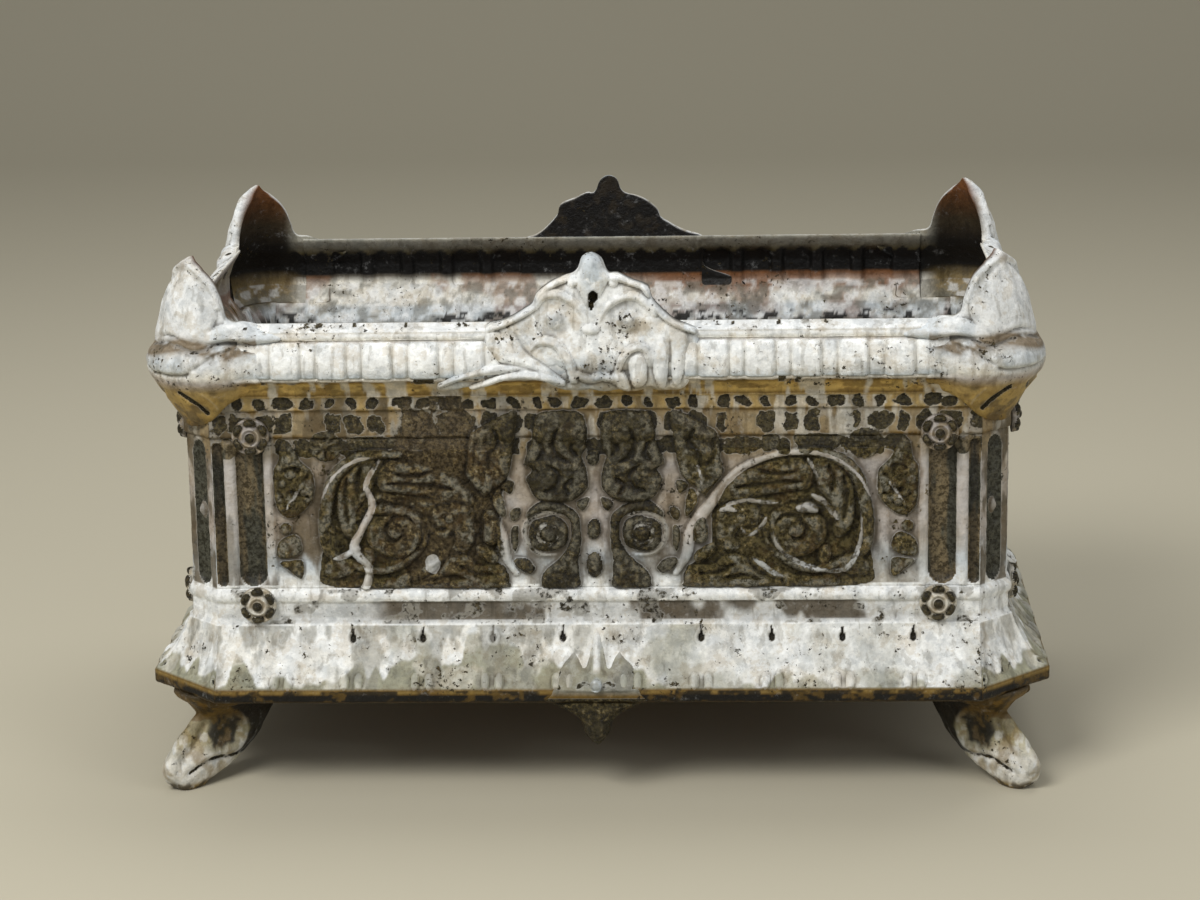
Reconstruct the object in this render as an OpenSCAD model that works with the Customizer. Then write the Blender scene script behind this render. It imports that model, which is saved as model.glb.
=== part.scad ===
// Footed cast iron jardiniere: a rectangular planter trough bolted together from cast walls,
// chamfered corner posts, scrolled feet and a loose bottom plate.
// The origin is on the ground under the middle of the trough. X runs along the front, Y to the back.

/* [Plan] */
// Width over the faces of the two end panels
body_w = 617; // [560:1:720]
// Depth over the faces of the front and back panels
body_d = 353; // [320:1:440]
// Width of the 45 degree cut at each upright corner, measured along one face
corner_cut = 21; // [19:0.5:25]
// Thickness of the cast walls
wall_t = 6; // [5:0.5:7]

/* [Heights] */
// Height of the feet, from the ground to the underside of the base lip
foot_h = 74; // [66:1:90]
// Height of the upright face of the base lip
lip_h = 10; // [8:0.5:14]
// Rise of the hollow flare above the lip
flare_h = 43; // [38:1:50]
// Height of the plain sill under the panel
sill_h = 18; // [16:1:22]
// Height of the round ridge at the foot of the panel
ridge_h = 9; // [7:0.5:11]
// Height of the sunk field with the scroll relief
field_h = 117; // [108:1:140]
// Height of the frieze band over the field
frieze_h = 21; // [19:1:26]
// Height of the band of darts
dart_h = 12; // [10:1:15]
// Rise of the hollow cove under the rim
cove_h = 14; // [12:1:18]
// Height of the gadrooned band
gadroon_h = 28; // [25:1:32]
// Height of the bead over the gadroons
bead_h = 7; // [6:0.5:9]
// Rise of the bevel on top of the rim
bevel_h = 6; // [4:0.5:8]
// Rise of the crest tip over the rim
crest_rise = 58; // [48:1:66]
// Rise of the corner leaf tips over the rim
ear_rise = 55; // [46:1:60]
// Drop of the pendant below the base lip
pendant_drop = 35; // [28:1:42]

/* [Projections from the panel face] */
// Base lip
lip_out = 34; // [29:1:38]
// Sill
sill_out = 3.5; // [2:0.5:5]
// Frieze band
frieze_out = 2; // [1:0.5:3]
// Band of darts
dart_out = 4; // [3.5:0.5:5]
// Upper edge of the cove
cove_out = 16; // [14:0.5:18]
// Crown of the gadroons
gadroon_out = 21.5; // [20:0.5:24]
// Bead over the gadroons
bead_out = 12; // [11:0.5:14]
// Width of the bevel on top of the rim
bevel_w = 10; // [8:0.5:12]

/* [Ornament] */
// Distance between gadroons on the long sides
gadroon_pitch = 34.1; // [31:0.1:38]
// Width of one gadroon
gadroon_w = 21.5; // [17:0.5:24]
// Half of the crest's width at the rim
crest_half = 78; // [66:1:84]
// Half of the pendant's width at the lip
pendant_half = 47; // [38:1:54]
// Height of the scroll relief over the field
relief_h = 4.5; // [3:0.5:6]
// Radius of a rosette bolt head
rosette_r = 14; // [12:0.5:15]
// Distance of the rosettes from the seam beside the corner post
rosette_in = 31.5; // [28:0.5:34]
// Radius of the two flutes on each corner post
flute_r = 6; // [5:0.5:7]

/* [Fastenings] */
// Thickness of the flanges and lugs inside
flange_t = 5; // [4:0.5:6]
// Radius of the rosette bolts
rosette_bolt_r = 3; // [2.5:0.5:4]
// Radius of the foot bolts
foot_bolt_r = 4; // [3:0.5:5]
// Radius of the small screws of crests and pendants
screw_r = 2.5; // [2:0.5:3]
// Radial clearance of every bolt in its hole
bolt_gap = 0.3; // [0.2:0.1:0.6]
// Gap between the bottom plate's edge and the walls
plate_gap = 1.5; // [1:0.5:3]
// Thickness of the bottom plate
plate_t = 4; // [3:0.5:5]
// Radius of the drain holes
drain_r = 9; // [6:0.5:12]

/* [Hidden] */
$fn = 48;

paint = "#dcd9d0";
gold = "#a08a5c";
olive = "#4a4636";
rust = "#7a4e2e";
beige = "#a8a08a";

// Heights of the mouldings, from the ground up
z_lip = foot_h;
z_flare = z_lip + lip_h;
z_sill = z_flare + flare_h;
z_ridge = z_sill + sill_h;
z_field = z_ridge + ridge_h;
z_frieze = z_field + field_h;
z_dart = z_frieze + frieze_h;
z_cove = z_dart + dart_h;
z_gadroon = z_cove + cove_h;
z_bead = z_gadroon + gadroon_h;
z_rim = z_bead + bead_h;
z_top = z_rim + bevel_h;

// Seams between the walls and the corner castings. Above the cove the corner casting reaches
// further along the rim, because the corner leaf lies over it.
seam_x = body_w / 2 - corner_cut;
seam_y = body_d / 2 - corner_cut;
rim_lap = 40;

// Small steps and clearances
step = 1.5;
seat_gap = 0.2;
big = 2 * (body_w + body_d);

// A bowed line from p to q, whose middle stands off by sag to the right of the way from p to q
function bow(p, q, sag, n = 8) = [
    for (i = [0:n])
        let (t = i / n, d = q - p, side = [d[1], -d[0]] / norm(d))
        p + d * t + side * 4 * sag * t * (1 - t)
];

// The outline of the cast sheet, as distance out from the panel face and height.
// The low part ends at the foot of the cove, where the rim part starts.
cove_in = dart_out + step - wall_t;
function outer_low() = concat(
    [[lip_out - step, z_lip], [lip_out, z_lip + step]],
    bow([lip_out, z_flare], [sill_out + step, z_sill], -4),
    [[sill_out, z_sill + step]],
    bow([sill_out, z_ridge], [0, z_field], 2, 6),
    [[0, z_frieze], [frieze_out, z_frieze + step], [frieze_out, z_dart]],
    [[dart_out, z_dart + step], [dart_out, z_cove - step], [dart_out + step, z_cove]]
);
function inner_low() = concat(
    [[cove_in, z_cove], [-wall_t, z_dart - step]],
    bow([-wall_t, z_sill + 2 * step], [lip_out - wall_t, z_flare - step], 4),
    [[lip_out - wall_t, z_lip]]
);
function outer_rim() = concat(
    bow([dart_out + step, z_cove], [cove_out, z_gadroon], -2, 6),
    bow([cove_out, z_gadroon + step], [cove_out - 2, z_bead - step], 3.5),
    [[bead_out, z_bead], [bead_out, z_rim - step], [bead_out - step, z_rim]],
    [[bead_out - bevel_w, z_top]]
);
function inner_rim() = [
    [bead_out - bevel_w - 2, z_top - step],
    [bead_out - wall_t, z_bead + step],
    [cove_out - wall_t, z_bead - gadroon_h / 3],
    [cove_out - wall_t, z_gadroon + step],
    [cove_in, z_cove]
];
low_sheet = concat(outer_low(), inner_low());
rim_sheet = concat(outer_rim(), inner_rim());

// Runs an outline straight along X. Its first coordinate points to -Y, away from the trough.
module run(outline, from, to) {
    translate([to, 0, 0])
        rotate([0, 0, -90])
            rotate([90, 0, 0])
                linear_extrude(to - from)
                    polygon(outline);
}

// A solid drawn on the front: x and z as in a front view, from depth a out to depth b
module front_relief(a, b) {
    translate([0, -a, 0])
        rotate([90, 0, 0])
            linear_extrude(b - a)
                children();
}

// A round hole or pin square to a wall, between depths a and b
module cross_pin(r, a, b) {
    translate([0, -a, 0])
        rotate([90, 0, 0])
            cylinder(r = r, h = b - a);
}

// One gadroon, crowned both ways, whose root is sunk in the rim sheet
module gadroon() {
    rise = gadroon_h / 2 - step;
    crown = gadroon_w;
    root = cove_out - 1;
    translate([0, 0, (z_gadroon + z_bead) / 2])
        intersection() {
            translate([-gadroon_w / 2, -gadroon_out - 1, -rise])
                cube([gadroon_w, gadroon_out + 1 - root, 2 * rise]);
            translate([-gadroon_w, -gadroon_out + rise, 0])
                rotate([0, 90, 0])
                    cylinder(r = rise, h = 2 * gadroon_w);
            translate([0, -gadroon_out + crown, -rise])
                cylinder(r = crown, h = 2 * rise);
        }
}

// The narrow bar between two gadroons
bar_w = 5;
module bar() {
    translate([-bar_w / 2, -cove_out - bar_w / 2, z_gadroon + 2 * step])
        cube([bar_w, bar_w, gadroon_h - 4 * step]);
}

// Rosette places along a wall: both sides, at the sill and at the frieze
rosette_low_z = z_ridge - 2;
rosette_high_z = z_frieze + 3;
rosette_seat = 5;
module at_rosettes(half) {
    for (side = [-1, 1])
        for (z = [rosette_low_z, rosette_high_z])
            translate([side * (half - rosette_in), 0, z])
                children();
}

// A spiral band drawn by formula: it winds inwards from radius r0 by turns, and narrows.
// The larger ease is, the longer it keeps its first radius.
function spiral_at(r0, r1, turns, t, ease) =
    let (a = 360 * turns * t, r = r0 * pow(r1 / r0, pow(t, ease)))
    [r * cos(a), r * sin(a)];
module spiral_band(r0, r1, turns, w0, w1, ease = 1) {
    n = ceil(20 * turns);
    outer = [for (i = [0:n]) spiral_at(r0 + w0 / 2, r1 + w1 / 2, turns, i / n, ease)];
    inner = [for (i = [n:-1:0]) spiral_at(r0 - w0 / 2, r1 - w1 / 2, turns, i / n, ease)];
    polygon(concat(outer, inner));
}

// A pointed leaf of length l and greatest width w, from the origin along +X
module leaf(l, w) {
    r = (l * l / 4 + w * w / 4) / w;
    translate([l / 2, 0])
        intersection() {
            translate([0, r - w / 2]) circle(r);
            translate([0, w / 2 - r]) circle(r);
        }
}

// The scroll relief. A place on a long panel's right half is given as a share of the half
// width and of the height, and leaves and beads have sizes that follow the height.
pane_w = seam_x - 46;
motif_top = 1.09;
function at(u, v) = [u * pane_w, z_field + v * field_h];
module leaf_at(u, v, turn, l, w) {
    translate(at(u, v))
        rotate(turn)
            leaf(l * field_h, w * field_h);
}

// Volute over a stem, with its bud, under a lobed leaf that runs up into the frieze
module middle_motifs() {
    volute_r = 0.2 * field_h;
    polygon(concat(
        [at(0.058, -0.02)],
        bow(at(0.17, -0.02), at(0.09, 0.25), -3, 4),
        [at(0.05, 0.36)]
    ));
    translate(at(0.143, 0.38)) {
        difference() {
            circle(volute_r);
            circle(volute_r * 0.72);
        }
        circle(volute_r * 0.56);
    }
    polygon(concat(
        [at(0.186, motif_top), at(0.028, motif_top)],
        bow(at(0.036, 0.86), at(0.022, 0.68), 0.5, 2),
        bow(at(0.04, 0.6), at(0.205, 0.68), 3, 5),
        bow(at(0.212, 0.74), at(0.195, 0.78), 1, 2),
        bow(at(0.214, 0.84), at(0.19, 0.98), 2, 3)
    ));
}

// Hanging petal, small leaves, and the wide scroll with two leaves inside and one below
module scroll_motifs() {
    scroll_r = 0.51 * field_h;
    polygon(concat(
        [at(0.372, motif_top)],
        bow(at(0.238, motif_top), at(0.34, 0.62), 3, 5),
        bow(at(0.355, 0.62), at(0.395, 0.85), 3, 4)
    ));
    leaf_at(0.2, 0.13, 20, 0.16, 0.09);
    leaf_at(0.3, 0.18, 40, 0.18, 0.1);
    leaf_at(0.325, 0.3, 90, 0.18, 0.09);
    leaf_at(0.285, 0.47, 80, 0.2, 0.07);
    translate(at(0.62, 0.44))
        rotate(180)
            mirror([0, 1])
                spiral_band(scroll_r, scroll_r * 0.4, 1, 9, 5, 2);
    translate(at(0.625, 0.385)) circle(scroll_r * 0.33);
    polygon(concat(
        bow(at(0.41, 0.58), at(0.65, 0.83), -5, 6),
        bow(at(0.665, 0.72), at(0.43, 0.57), -1, 3)
    ));
    polygon(concat(
        bow(at(0.69, 0.83), at(0.765, 0.36), -14, 8),
        bow(at(0.74, 0.4), at(0.69, 0.68), 4, 4)
    ));
    leaf_at(0.385, 0.24, 66, 0.34, 0.2);
    polygon(bow(at(0.27, -0.02), at(0.57, -0.02), -22, 10));
    polygon(bow(at(0.6, -0.02), at(0.75, -0.02), -11, 6));
}

// Leaves and berries beside the pilaster, placed by the wall's half length
module border_motifs(half) {
    translate([half - 61, z_field + 0.48 * field_h])
        rotate(90)
            leaf(0.5 * field_h, 0.24 * field_h);
    translate([half - 57, z_field + 0.29 * field_h]) circle(0.075 * field_h);
    translate([half - 66, z_field + 0.12 * field_h])
        leaf(0.16 * field_h, 0.1 * field_h);
    translate([half - 106, z_field + 0.1 * field_h])
        rotate(14)
            leaf(0.22 * field_h, 0.13 * field_h);
}
module beads() {
    for (v = [0.15, 0.4, 0.86])
        translate([0, 0, z_field + v * field_h])
            cross_pin(0.043 * field_h, -1, relief_h);
}
module half_relief() {
    front_relief(-1, relief_h) {
        middle_motifs();
        scroll_motifs();
        border_motifs(seam_x);
    }
    translate([seam_x - 86, 0, z_frieze - 0.05 * field_h])
        cross_pin(0.085 * field_h, -1, relief_h);
    for (p = [at(0.143, 0.38), at(0.625, 0.385)])
        translate([p[0], 0, p[1]])
            cross_pin(0.055 * field_h, -1, relief_h + 2);
}

// The upright pilaster at the end of a wall: two raised strips with a hollow flute between
strip_w = 8;
module pilaster_strips(half) {
    for (side = [-1, 1])
        for (x = [half - 13, half - 43])
            translate([side * x - strip_w / 2, -frieze_out, z_field - 1])
                cube([strip_w, frieze_out + 1, field_h + 2]);
}
module pilaster_flutes(half) {
    channel_r = 14;
    channel_depth = 2.5;
    for (side = [-1, 1])
        translate([side * (half - 28), -channel_r + channel_depth, z_field + rosette_r])
            cylinder(r = channel_r, h = field_h - 2 * rosette_r);
}

// The ledge that carries the bottom plate
ledge_w = 8;
plate_z = z_sill - plate_t;
module ledge(half) {
    run([
        [-wall_t - ledge_w, plate_z],
        [-wall_t - ledge_w, plate_z - flange_t],
        [sill_out - 1, plate_z - flange_t],
        [sill_out - 1, plate_z]
    ], -half + 30, half - 30);
}

// Cast wall with its face in the plane y = 0 and its outside towards -Y.
// gap is half of the opening that the crest fills in the rim, or 0.
module wall(half, gap) {
    rim_end = half - rim_lap;
    difference() {
        union() {
            run(low_sheet, -half, half);
            if (gap > 0) {
                run(rim_sheet, -rim_end, -gap);
                run(rim_sheet, gap, rim_end);
            } else {
                run(rim_sheet, -rim_end, rim_end);
            }
            pilaster_strips(half);
            ledge(half);
            at_rosettes(half) cross_pin(rosette_r + 1, -1, rosette_seat);
            if (gap > 0)
                for (side = [-1, 1])
                    for (x = [half - lobe_in - gadroon_pitch : -gadroon_pitch : gap + gadroon_w / 2]) {
                        translate([side * x, 0, 0]) gadroon();
                        translate([side * (x + gadroon_pitch / 2), 0, 0]) bar();
                    }
            else
                for (i = [0.5:1:end_lobes])
                    for (side = [-1, 1])
                        translate([side * i * (half - lobe_in) / (end_lobes + 0.5), 0, 0])
                            gadroon();
        }
        pilaster_flutes(half);
        at_rosettes(half)
            cross_pin(rosette_bolt_r + bolt_gap, -wall_t - 1, rosette_seat + 1);
    }
}

// The gadroon on the corner casting, measured back from the seam, and how many the ends take
lobe_in = 27.3;
end_lobes = floor((seam_y - lobe_in) / gadroon_pitch - 0.2);

crest_lug_x = crest_half * 0.55;
crest_lug_z = z_dart - 10;
pendant_screw_z = z_flare + 5;

// Long wall with the scroll relief, the crest's seat and the pendant's screw hole
module long_wall() {
    translate([0, -body_d / 2, 0])
        difference() {
            union() {
                wall(seam_x, crest_half);
                half_relief();
                mirror([1, 0, 0]) half_relief();
                beads();
            }
            for (side = [-1, 1])
                translate([side * crest_lug_x, 0, crest_lug_z])
                    cross_pin(screw_r + bolt_gap, -wall_t - 1, frieze_out - 2);
            translate([0, 0, pendant_screw_z])
                cross_pin(screw_r + bolt_gap, 0, lip_out + 2);
        }
}

// End wall, with the middle and the border of the long wall's relief drawn together
module end_wall() {
    translate([0, -body_w / 2, 0])
        union() {
            wall(seam_y, 0);
            for (side = [0, 1])
                mirror([side, 0, 0])
                    front_relief(-1, relief_h) {
                        middle_motifs();
                        border_motifs(seam_y);
                    }
            beads();
        }
}

// Corner parts are drawn around the upright axis where the two seams cross, with the outside
// towards +X and +Y, and set at each corner by mirroring.
module at_corner(right, back) {
    if (right && back)
        translate([seam_x, seam_y, 0]) children();
    else if (right || back)
        mirror([right ? 0 : 1, right ? 1 : 0, 0]) translate([seam_x, seam_y, 0]) children();
    else
        rotate([0, 0, 180]) translate([seam_x, seam_y, 0]) children();
}

// The same sheet seen square to the 45 degree face of the corner
function across(outline) = [for (p = outline) [(corner_cut + p[0]) / sqrt(2), p[1]]];
function around(outline) = [for (p = outline) [corner_cut + p[0], p[1]]];

module corner_face() {
    intersection() {
        rotate([0, 0, 45])
            rotate([90, 0, 0])
                linear_extrude(4 * (corner_cut + lip_out), center = true)
                    polygon(across(low_sheet));
        translate([0, 0, -1])
            cube([big, big, z_top]);
    }
}

// Hollow flutes of the post, with a round bead between them at half height
module post_flutes() {
    for (side = [-1, 1])
        rotate([0, 0, 45])
            translate([corner_cut / sqrt(2) + flute_r - 2.5, side * corner_cut * 0.36, z_ridge])
                cylinder(r = flute_r, h = z_dart - z_ridge - 4);
}

// The rim turned round the corner, over a shelf that closes the neck
module corner_rim() {
    rotate_extrude(angle = 90) {
        polygon(around(rim_sheet));
        translate([(corner_cut - wall_t) / sqrt(2), z_cove - step])
            square([corner_cut + cove_in - (corner_cut - wall_t) / sqrt(2) + wall_t, 2 * step]);
    }
    translate([0, corner_cut, 0]) rotate([0, 0, 180]) run(rim_sheet, 0, rim_lap);
    mirror([1, -1, 0])
        translate([0, corner_cut, 0]) rotate([0, 0, 180]) run(rim_sheet, 0, rim_lap);
    translate([-lobe_in, corner_cut, 0]) rotate([0, 0, 180]) gadroon();
    mirror([1, -1, 0])
        translate([-lobe_in, corner_cut, 0]) rotate([0, 0, 180]) gadroon();
}

// The corner leaf: a hood that leans in over the corner. Its outline falls in steps along
// each rim, and its section is an S that starts on the bead.
ear_t = 5;
ear_z = z_rim + ear_rise;
function ear_line(t) = [
    corner_cut + bead_out - 2 - 22 * pow(t, 1.8),
    z_rim - 3 + (ear_rise + 4) * t
];
ear_sheet = concat(
    [for (i = [0:8]) ear_line(i / 8)],
    [for (i = [8:-1:0]) ear_line(i / 8) - [ear_t, 0]]
);
ear_outline = concat(
    [[-rim_lap, z_rim - 4], [-rim_lap, z_rim + 2]],
    bow([-20, z_top + 3], [-7, z_rim + ear_rise * 0.7], 2, 5),
    bow([-4, z_rim + ear_rise * 0.78], [17, ear_z], -2, 5),
    [[60, ear_z], [60, z_rim - 4]]
);
module half_ear() {
    intersection() {
        union() {
            rotate_extrude(angle = 90) polygon(ear_sheet);
            translate([-rim_lap, 0, 0])
                rotate([90, 0, 90]) linear_extrude(rim_lap) polygon(ear_sheet);
        }
        translate([0, big / 2, 0])
            rotate([90, 0, 0])
                linear_extrude(big) polygon(ear_outline);
        linear_extrude(z_top + ear_rise)
            polygon([[-rim_lap, 0], [0, 0], [90, 90], [-rim_lap, 90]]);
    }
}

// Flanges behind both walls for the rosette bolts
bracket_len = rosette_in + 15;
bracket_low = z_sill + 3 * step;
bracket_high = z_dart - 2 * step;
module bracket() {
    face = corner_cut - wall_t;
    back = face - flange_t;
    translate([0, 0, bracket_low])
        linear_extrude(bracket_high - bracket_low)
            polygon([
                [-bracket_len, face], [step, face], [face, step], [face, -bracket_len],
                [back, -bracket_len], [back, -step], [-step, back], [-bracket_len, back]
            ]);
}
module bracket_holes() {
    for (z = [rosette_low_z, rosette_high_z])
        for (turn = [0, 1])
            mirror([turn, -turn, 0])
                translate([-rosette_in, corner_cut, z])
                    rotate([90, 0, 0])
                        cylinder(r = rosette_bolt_r + bolt_gap, h = wall_t + flange_t + 1);
}

// Pad inside the base for the foot bolt
pad_t = 8;
pad_reach = 28;
foot_bolt_at = 6;
module pad() {
    side = lip_out + 4;
    cut = corner_cut + lip_out - wall_t - side + step;
    translate([0, 0, z_lip])
        linear_extrude(pad_t)
            polygon([
                [-pad_reach, -pad_reach], [side, -pad_reach], [side, cut],
                [cut, side], [-pad_reach, side]
            ]);
}

module corner_casting() {
    difference() {
        union() {
            difference() {
                corner_face();
                post_flutes();
            }
            corner_rim();
            half_ear();
            mirror([1, -1, 0]) half_ear();
            bracket();
            pad();
            rotate([0, 0, 45])
                translate([corner_cut / sqrt(2) - 2, 0, z_field + field_h * 0.45])
                    rotate([0, 90, 0])
                        cylinder(r = 4.5, h = 4);
        }
        bracket_holes();
        translate([foot_bolt_at, foot_bolt_at, z_lip - 1])
            cylinder(r = foot_bolt_r + bolt_gap, h = pad_t + 2);
    }
}

// Foot: a cabriole leg on the diagonal, from its side and front outlines, with a wing under
// each base lip and a scroll at the knee
toe_d = 50;
function leg_side() = concat(
    [[-30, z_lip], [44, z_lip]],
    bow([44, z_lip - 6], [17, foot_h * 0.66], 3, 6),
    bow([17, foot_h * 0.6], [toe_d, foot_h * 0.3], -3, 6),
    bow([toe_d, foot_h * 0.28], [toe_d - 8, 0], 5, 6),
    [[27, 0]],
    bow([24, foot_h * 0.06], [-30, foot_h * 0.8], 7, 8)
);
function leg_front() = let (right = concat(
    [[30, z_lip]],
    bow([29, z_lip - 8], [15, foot_h * 0.42], -3, 6),
    bow([15, foot_h * 0.38], [17, foot_h * 0.1], 2, 5),
    [[14, 0]]
)) concat(right, [for (i = [len(right) - 1:-1:0]) [-right[i][0], right[i][1]]]);
wing_t = 9;
module foot_wing() {
    translate([0, lip_out - 8, 0])
        rotate([90, 0, 0])
            linear_extrude(wing_t)
                polygon(concat(
                    [[10, z_lip], [-40, z_lip]],
                    bow([-40, z_lip - 4], [-14, foot_h * 0.52], 5, 8),
                    [[10, foot_h * 0.4]]
                ));
}
module foot() {
    difference() {
        union() {
            intersection() {
                rotate([0, 0, 45])
                    translate([0, 40, 0])
                        rotate([90, 0, 0])
                            linear_extrude(80) polygon(leg_side());
                rotate([0, 0, 135])
                    translate([0, 40, 0])
                        rotate([90, 0, 0])
                            linear_extrude(160, center = true) polygon(leg_front());
            }
            foot_wing();
            mirror([1, -1, 0]) foot_wing();
            rotate([0, 0, 45])
                translate([20, 19, foot_h * 0.62])
                    rotate([90, 0, 0])
                        cylinder(r = 10, h = 38);
        }
        translate([foot_bolt_at, foot_bolt_at, z_lip - 26])
            cylinder(r = foot_bolt_r + bolt_gap, h = 30);
    }
}

// Crest: it fills the gap in the rim, carries a shield with two volutes and a bud, and hangs
// on two lugs behind the wall
crest_z = z_rim + crest_rise;
function half_shield() = concat(
    bow([crest_half, z_top], [crest_half * 0.52, z_rim + crest_rise * 0.5], -5, 6),
    bow([crest_half * 0.5, z_rim + crest_rise * 0.58], [crest_half * 0.16, z_rim + crest_rise * 0.74], 2, 5),
    bow([crest_half * 0.14, z_rim + crest_rise * 0.78], [0, crest_z], 2.5, 5)
);
module shield_outline() {
    right = concat([[crest_half, z_gadroon]], half_shield());
    polygon(concat(right, [for (i = [len(right) - 2:-1:0]) [-right[i][0], right[i][1]]]));
}
volute_x = crest_half * 0.33;
volute_z = z_rim + crest_rise * 0.17;
module crest() {
    translate([0, -body_d / 2, 0])
        difference() {
            union() {
                run(rim_sheet, -crest_half + seat_gap, crest_half - seat_gap);
                intersection() {
                    front_relief(bead_out - wall_t, bead_out + 5) shield_outline();
                    translate([-crest_half + seat_gap, -body_d, 0])
                        cube([2 * (crest_half - seat_gap), 2 * body_d, big]);
                }
                for (side = [0, 1])
                    mirror([side, 0, 0]) {
                        translate([volute_x, -bead_out, volute_z])
                            front_relief(0, 8)
                                rotate(70) spiral_band(15, 6, 1.25, 6, 3);
                        translate([volute_x, -bead_out, volute_z])
                            cross_pin(6, 0, 8);
                        for (i = [0:2])
                            translate([crest_half * 0.5, -bead_out, z_bead])
                                rotate([0, -200 - 35 * i, 0])
                                    front_relief(0, 9 - i) leaf(gadroon_h, 14);
                        translate([crest_half * 0.5, -bead_out, z_bead])
                            cross_pin(6.5, 0, 10);
                        crest_lug();
                    }
                translate([0, -bead_out - 3, crest_z - crest_rise * 0.62])
                    cylinder(r1 = 9, r2 = 3, h = crest_rise * 0.55);
            }
            for (side = [-1, 1])
                translate([side * crest_lug_x, 0, crest_lug_z])
                    cross_pin(screw_r + bolt_gap, -wall_t - flange_t - 1, 0);
        }
}
module crest_lug() {
    run([
        [-wall_t - flange_t, crest_lug_z - 8],
        [-wall_t, crest_lug_z - 8],
        [-wall_t, z_dart - step],
        [cove_in, z_cove],
        [cove_in + 3, z_cove],
        [cove_in + 5, z_cove + 6],
        [cove_in - 2, z_cove + 6],
        [-wall_t - flange_t, z_dart]
    ], crest_lug_x - 10, crest_lug_x + 10);
}

// Pendant: a palmette that follows the flare, and a bud that hangs below the lip
skin_t = 3.5;
module pendant() {
    skin = concat(
        [[lip_out + seat_gap, z_lip - 6]],
        bow([lip_out + seat_gap, z_flare], [sill_out + step + seat_gap, z_sill], -4),
        [for (i = [8:-1:0]) bow([lip_out, z_flare], [sill_out + step, z_sill], -4)[i] + [skin_t, 0]],
        [[lip_out + skin_t, z_lip - 6]]
    );
    palmette = concat(
        [[pendant_half - 5, z_lip - 6], [pendant_half - 5, z_flare + 8]],
        bow([pendant_half * 0.62, z_flare + 16], [pendant_half * 0.24, z_flare + 12], 3, 4),
        [[0, z_flare + 34]]
    );
    drop_z = z_lip - pendant_drop;
    translate([0, -body_d / 2, 0])
        difference() {
            union() {
                intersection() {
                    run(skin, -pendant_half, pendant_half);
                    front_relief(0, lip_out + 10)
                        polygon(concat(palmette, [for (i = [len(palmette) - 2:-1:0])
                            [-palmette[i][0], palmette[i][1]]]));
                }
                difference() {
                    front_relief(lip_out - 10, lip_out + skin_t)
                        polygon(concat(
                            [[0, drop_z + 14], [14, drop_z + 20]],
                            bow([16, drop_z + 22], [pendant_half, z_lip - seat_gap], 2, 6),
                            [for (i = [6:-1:0])
                                let (p = bow([16, drop_z + 22], [pendant_half, z_lip - seat_gap], 2, 6)[i])
                                [-p[0], p[1]]],
                            [[-14, drop_z + 20]]
                        ));
                    translate([-big / 2, -lip_out - skin_t - 1, z_lip - seat_gap])
                        cube([big, skin_t + 12, 10]);
                }
                translate([0, -lip_out + 3, drop_z])
                    rotate_extrude()
                        polygon(concat(
                            [[0, 0]],
                            bow([2, 0.5], [11, 13], 2, 5),
                            bow([11, 15], [8, 24], 1, 4),
                            [[8, pendant_drop - seat_gap], [0, pendant_drop - seat_gap]]
                        ));
                translate([0, 0, pendant_screw_z])
                    cross_pin(6, lip_out - 1, lip_out + skin_t + 0.5);
            }
            translate([0, 0, pendant_screw_z])
                cross_pin(screw_r + bolt_gap, 0, lip_out + skin_t + 2);
        }
}

// Rosette bolt: six petals round a bud, on a shank
module rosette_bolt() {
    petals = 6;
    petal_r = rosette_r * 0.31;
    cross_pin(rosette_r, rosette_seat, rosette_seat + 2.5);
    for (i = [1:petals])
        rotate([0, i * 360 / petals + 30, 0])
            translate([0, 0, rosette_r * 0.64])
                cross_pin(petal_r, rosette_seat, rosette_seat + 5);
    cross_pin(rosette_r * 0.3, rosette_seat, rosette_seat + 6);
    translate([0, -rosette_seat - 6, 0])
        sphere(r = rosette_r * 0.27);
    cross_pin(rosette_bolt_r, -wall_t - flange_t - nut_h - 1.5, rosette_seat + 1);
}
nut_h = 5;
module rosette_nut() {
    translate([0, wall_t + flange_t + nut_h, 0])
        rotate([90, 0, 0])
            difference() {
                cylinder(r = rosette_bolt_r * 2.1, h = nut_h, $fn = 6);
                translate([0, 0, -1])
                    cylinder(r = rosette_bolt_r + 0.1, h = nut_h + 2);
            }
}

// Foot bolt: its head sits on the pad and its shank goes down into the foot
module foot_bolt() {
    translate([foot_bolt_at, foot_bolt_at, z_lip + pad_t])
        cylinder(r = foot_bolt_r * 1.9, h = 6, $fn = 6);
    translate([foot_bolt_at, foot_bolt_at, z_lip - 22])
        cylinder(r = foot_bolt_r, h = pad_t + 23);
}

module crest_screw() {
    cross_pin(screw_r * 2, -wall_t - flange_t - 3, -wall_t - flange_t);
    cross_pin(screw_r, -wall_t - flange_t - 1, frieze_out - 3);
}
module pendant_screw() {
    head = lip_out + skin_t + 0.5;
    cross_pin(screw_r, lip_out - 12, head + 1);
    intersection() {
        translate([0, -head + 3, 0]) sphere(r = screw_r * 2.1);
        cross_pin(screw_r * 2, head, head + 10);
    }
}

// Bottom plate with drain holes, loose on the ledges
module plate() {
    hx = body_w / 2 - wall_t - plate_gap;
    hy = body_d / 2 - wall_t - plate_gap;
    cut = corner_cut - wall_t + plate_gap;
    translate([0, 0, plate_z])
        difference() {
            linear_extrude(plate_t)
                polygon([
                    [hx - cut, hy], [-hx + cut, hy], [-hx, hy - cut], [-hx, -hy + cut],
                    [-hx + cut, -hy], [hx - cut, -hy], [hx, -hy + cut], [hx, hy - cut]
                ]);
            for (x = [-1, 0, 1])
                for (y = [-1, 1])
                    translate([x * hx * 0.66, y * hy * 0.42, -1])
                        cylinder(r = drain_r, h = plate_t + 2);
        }
}

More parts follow.
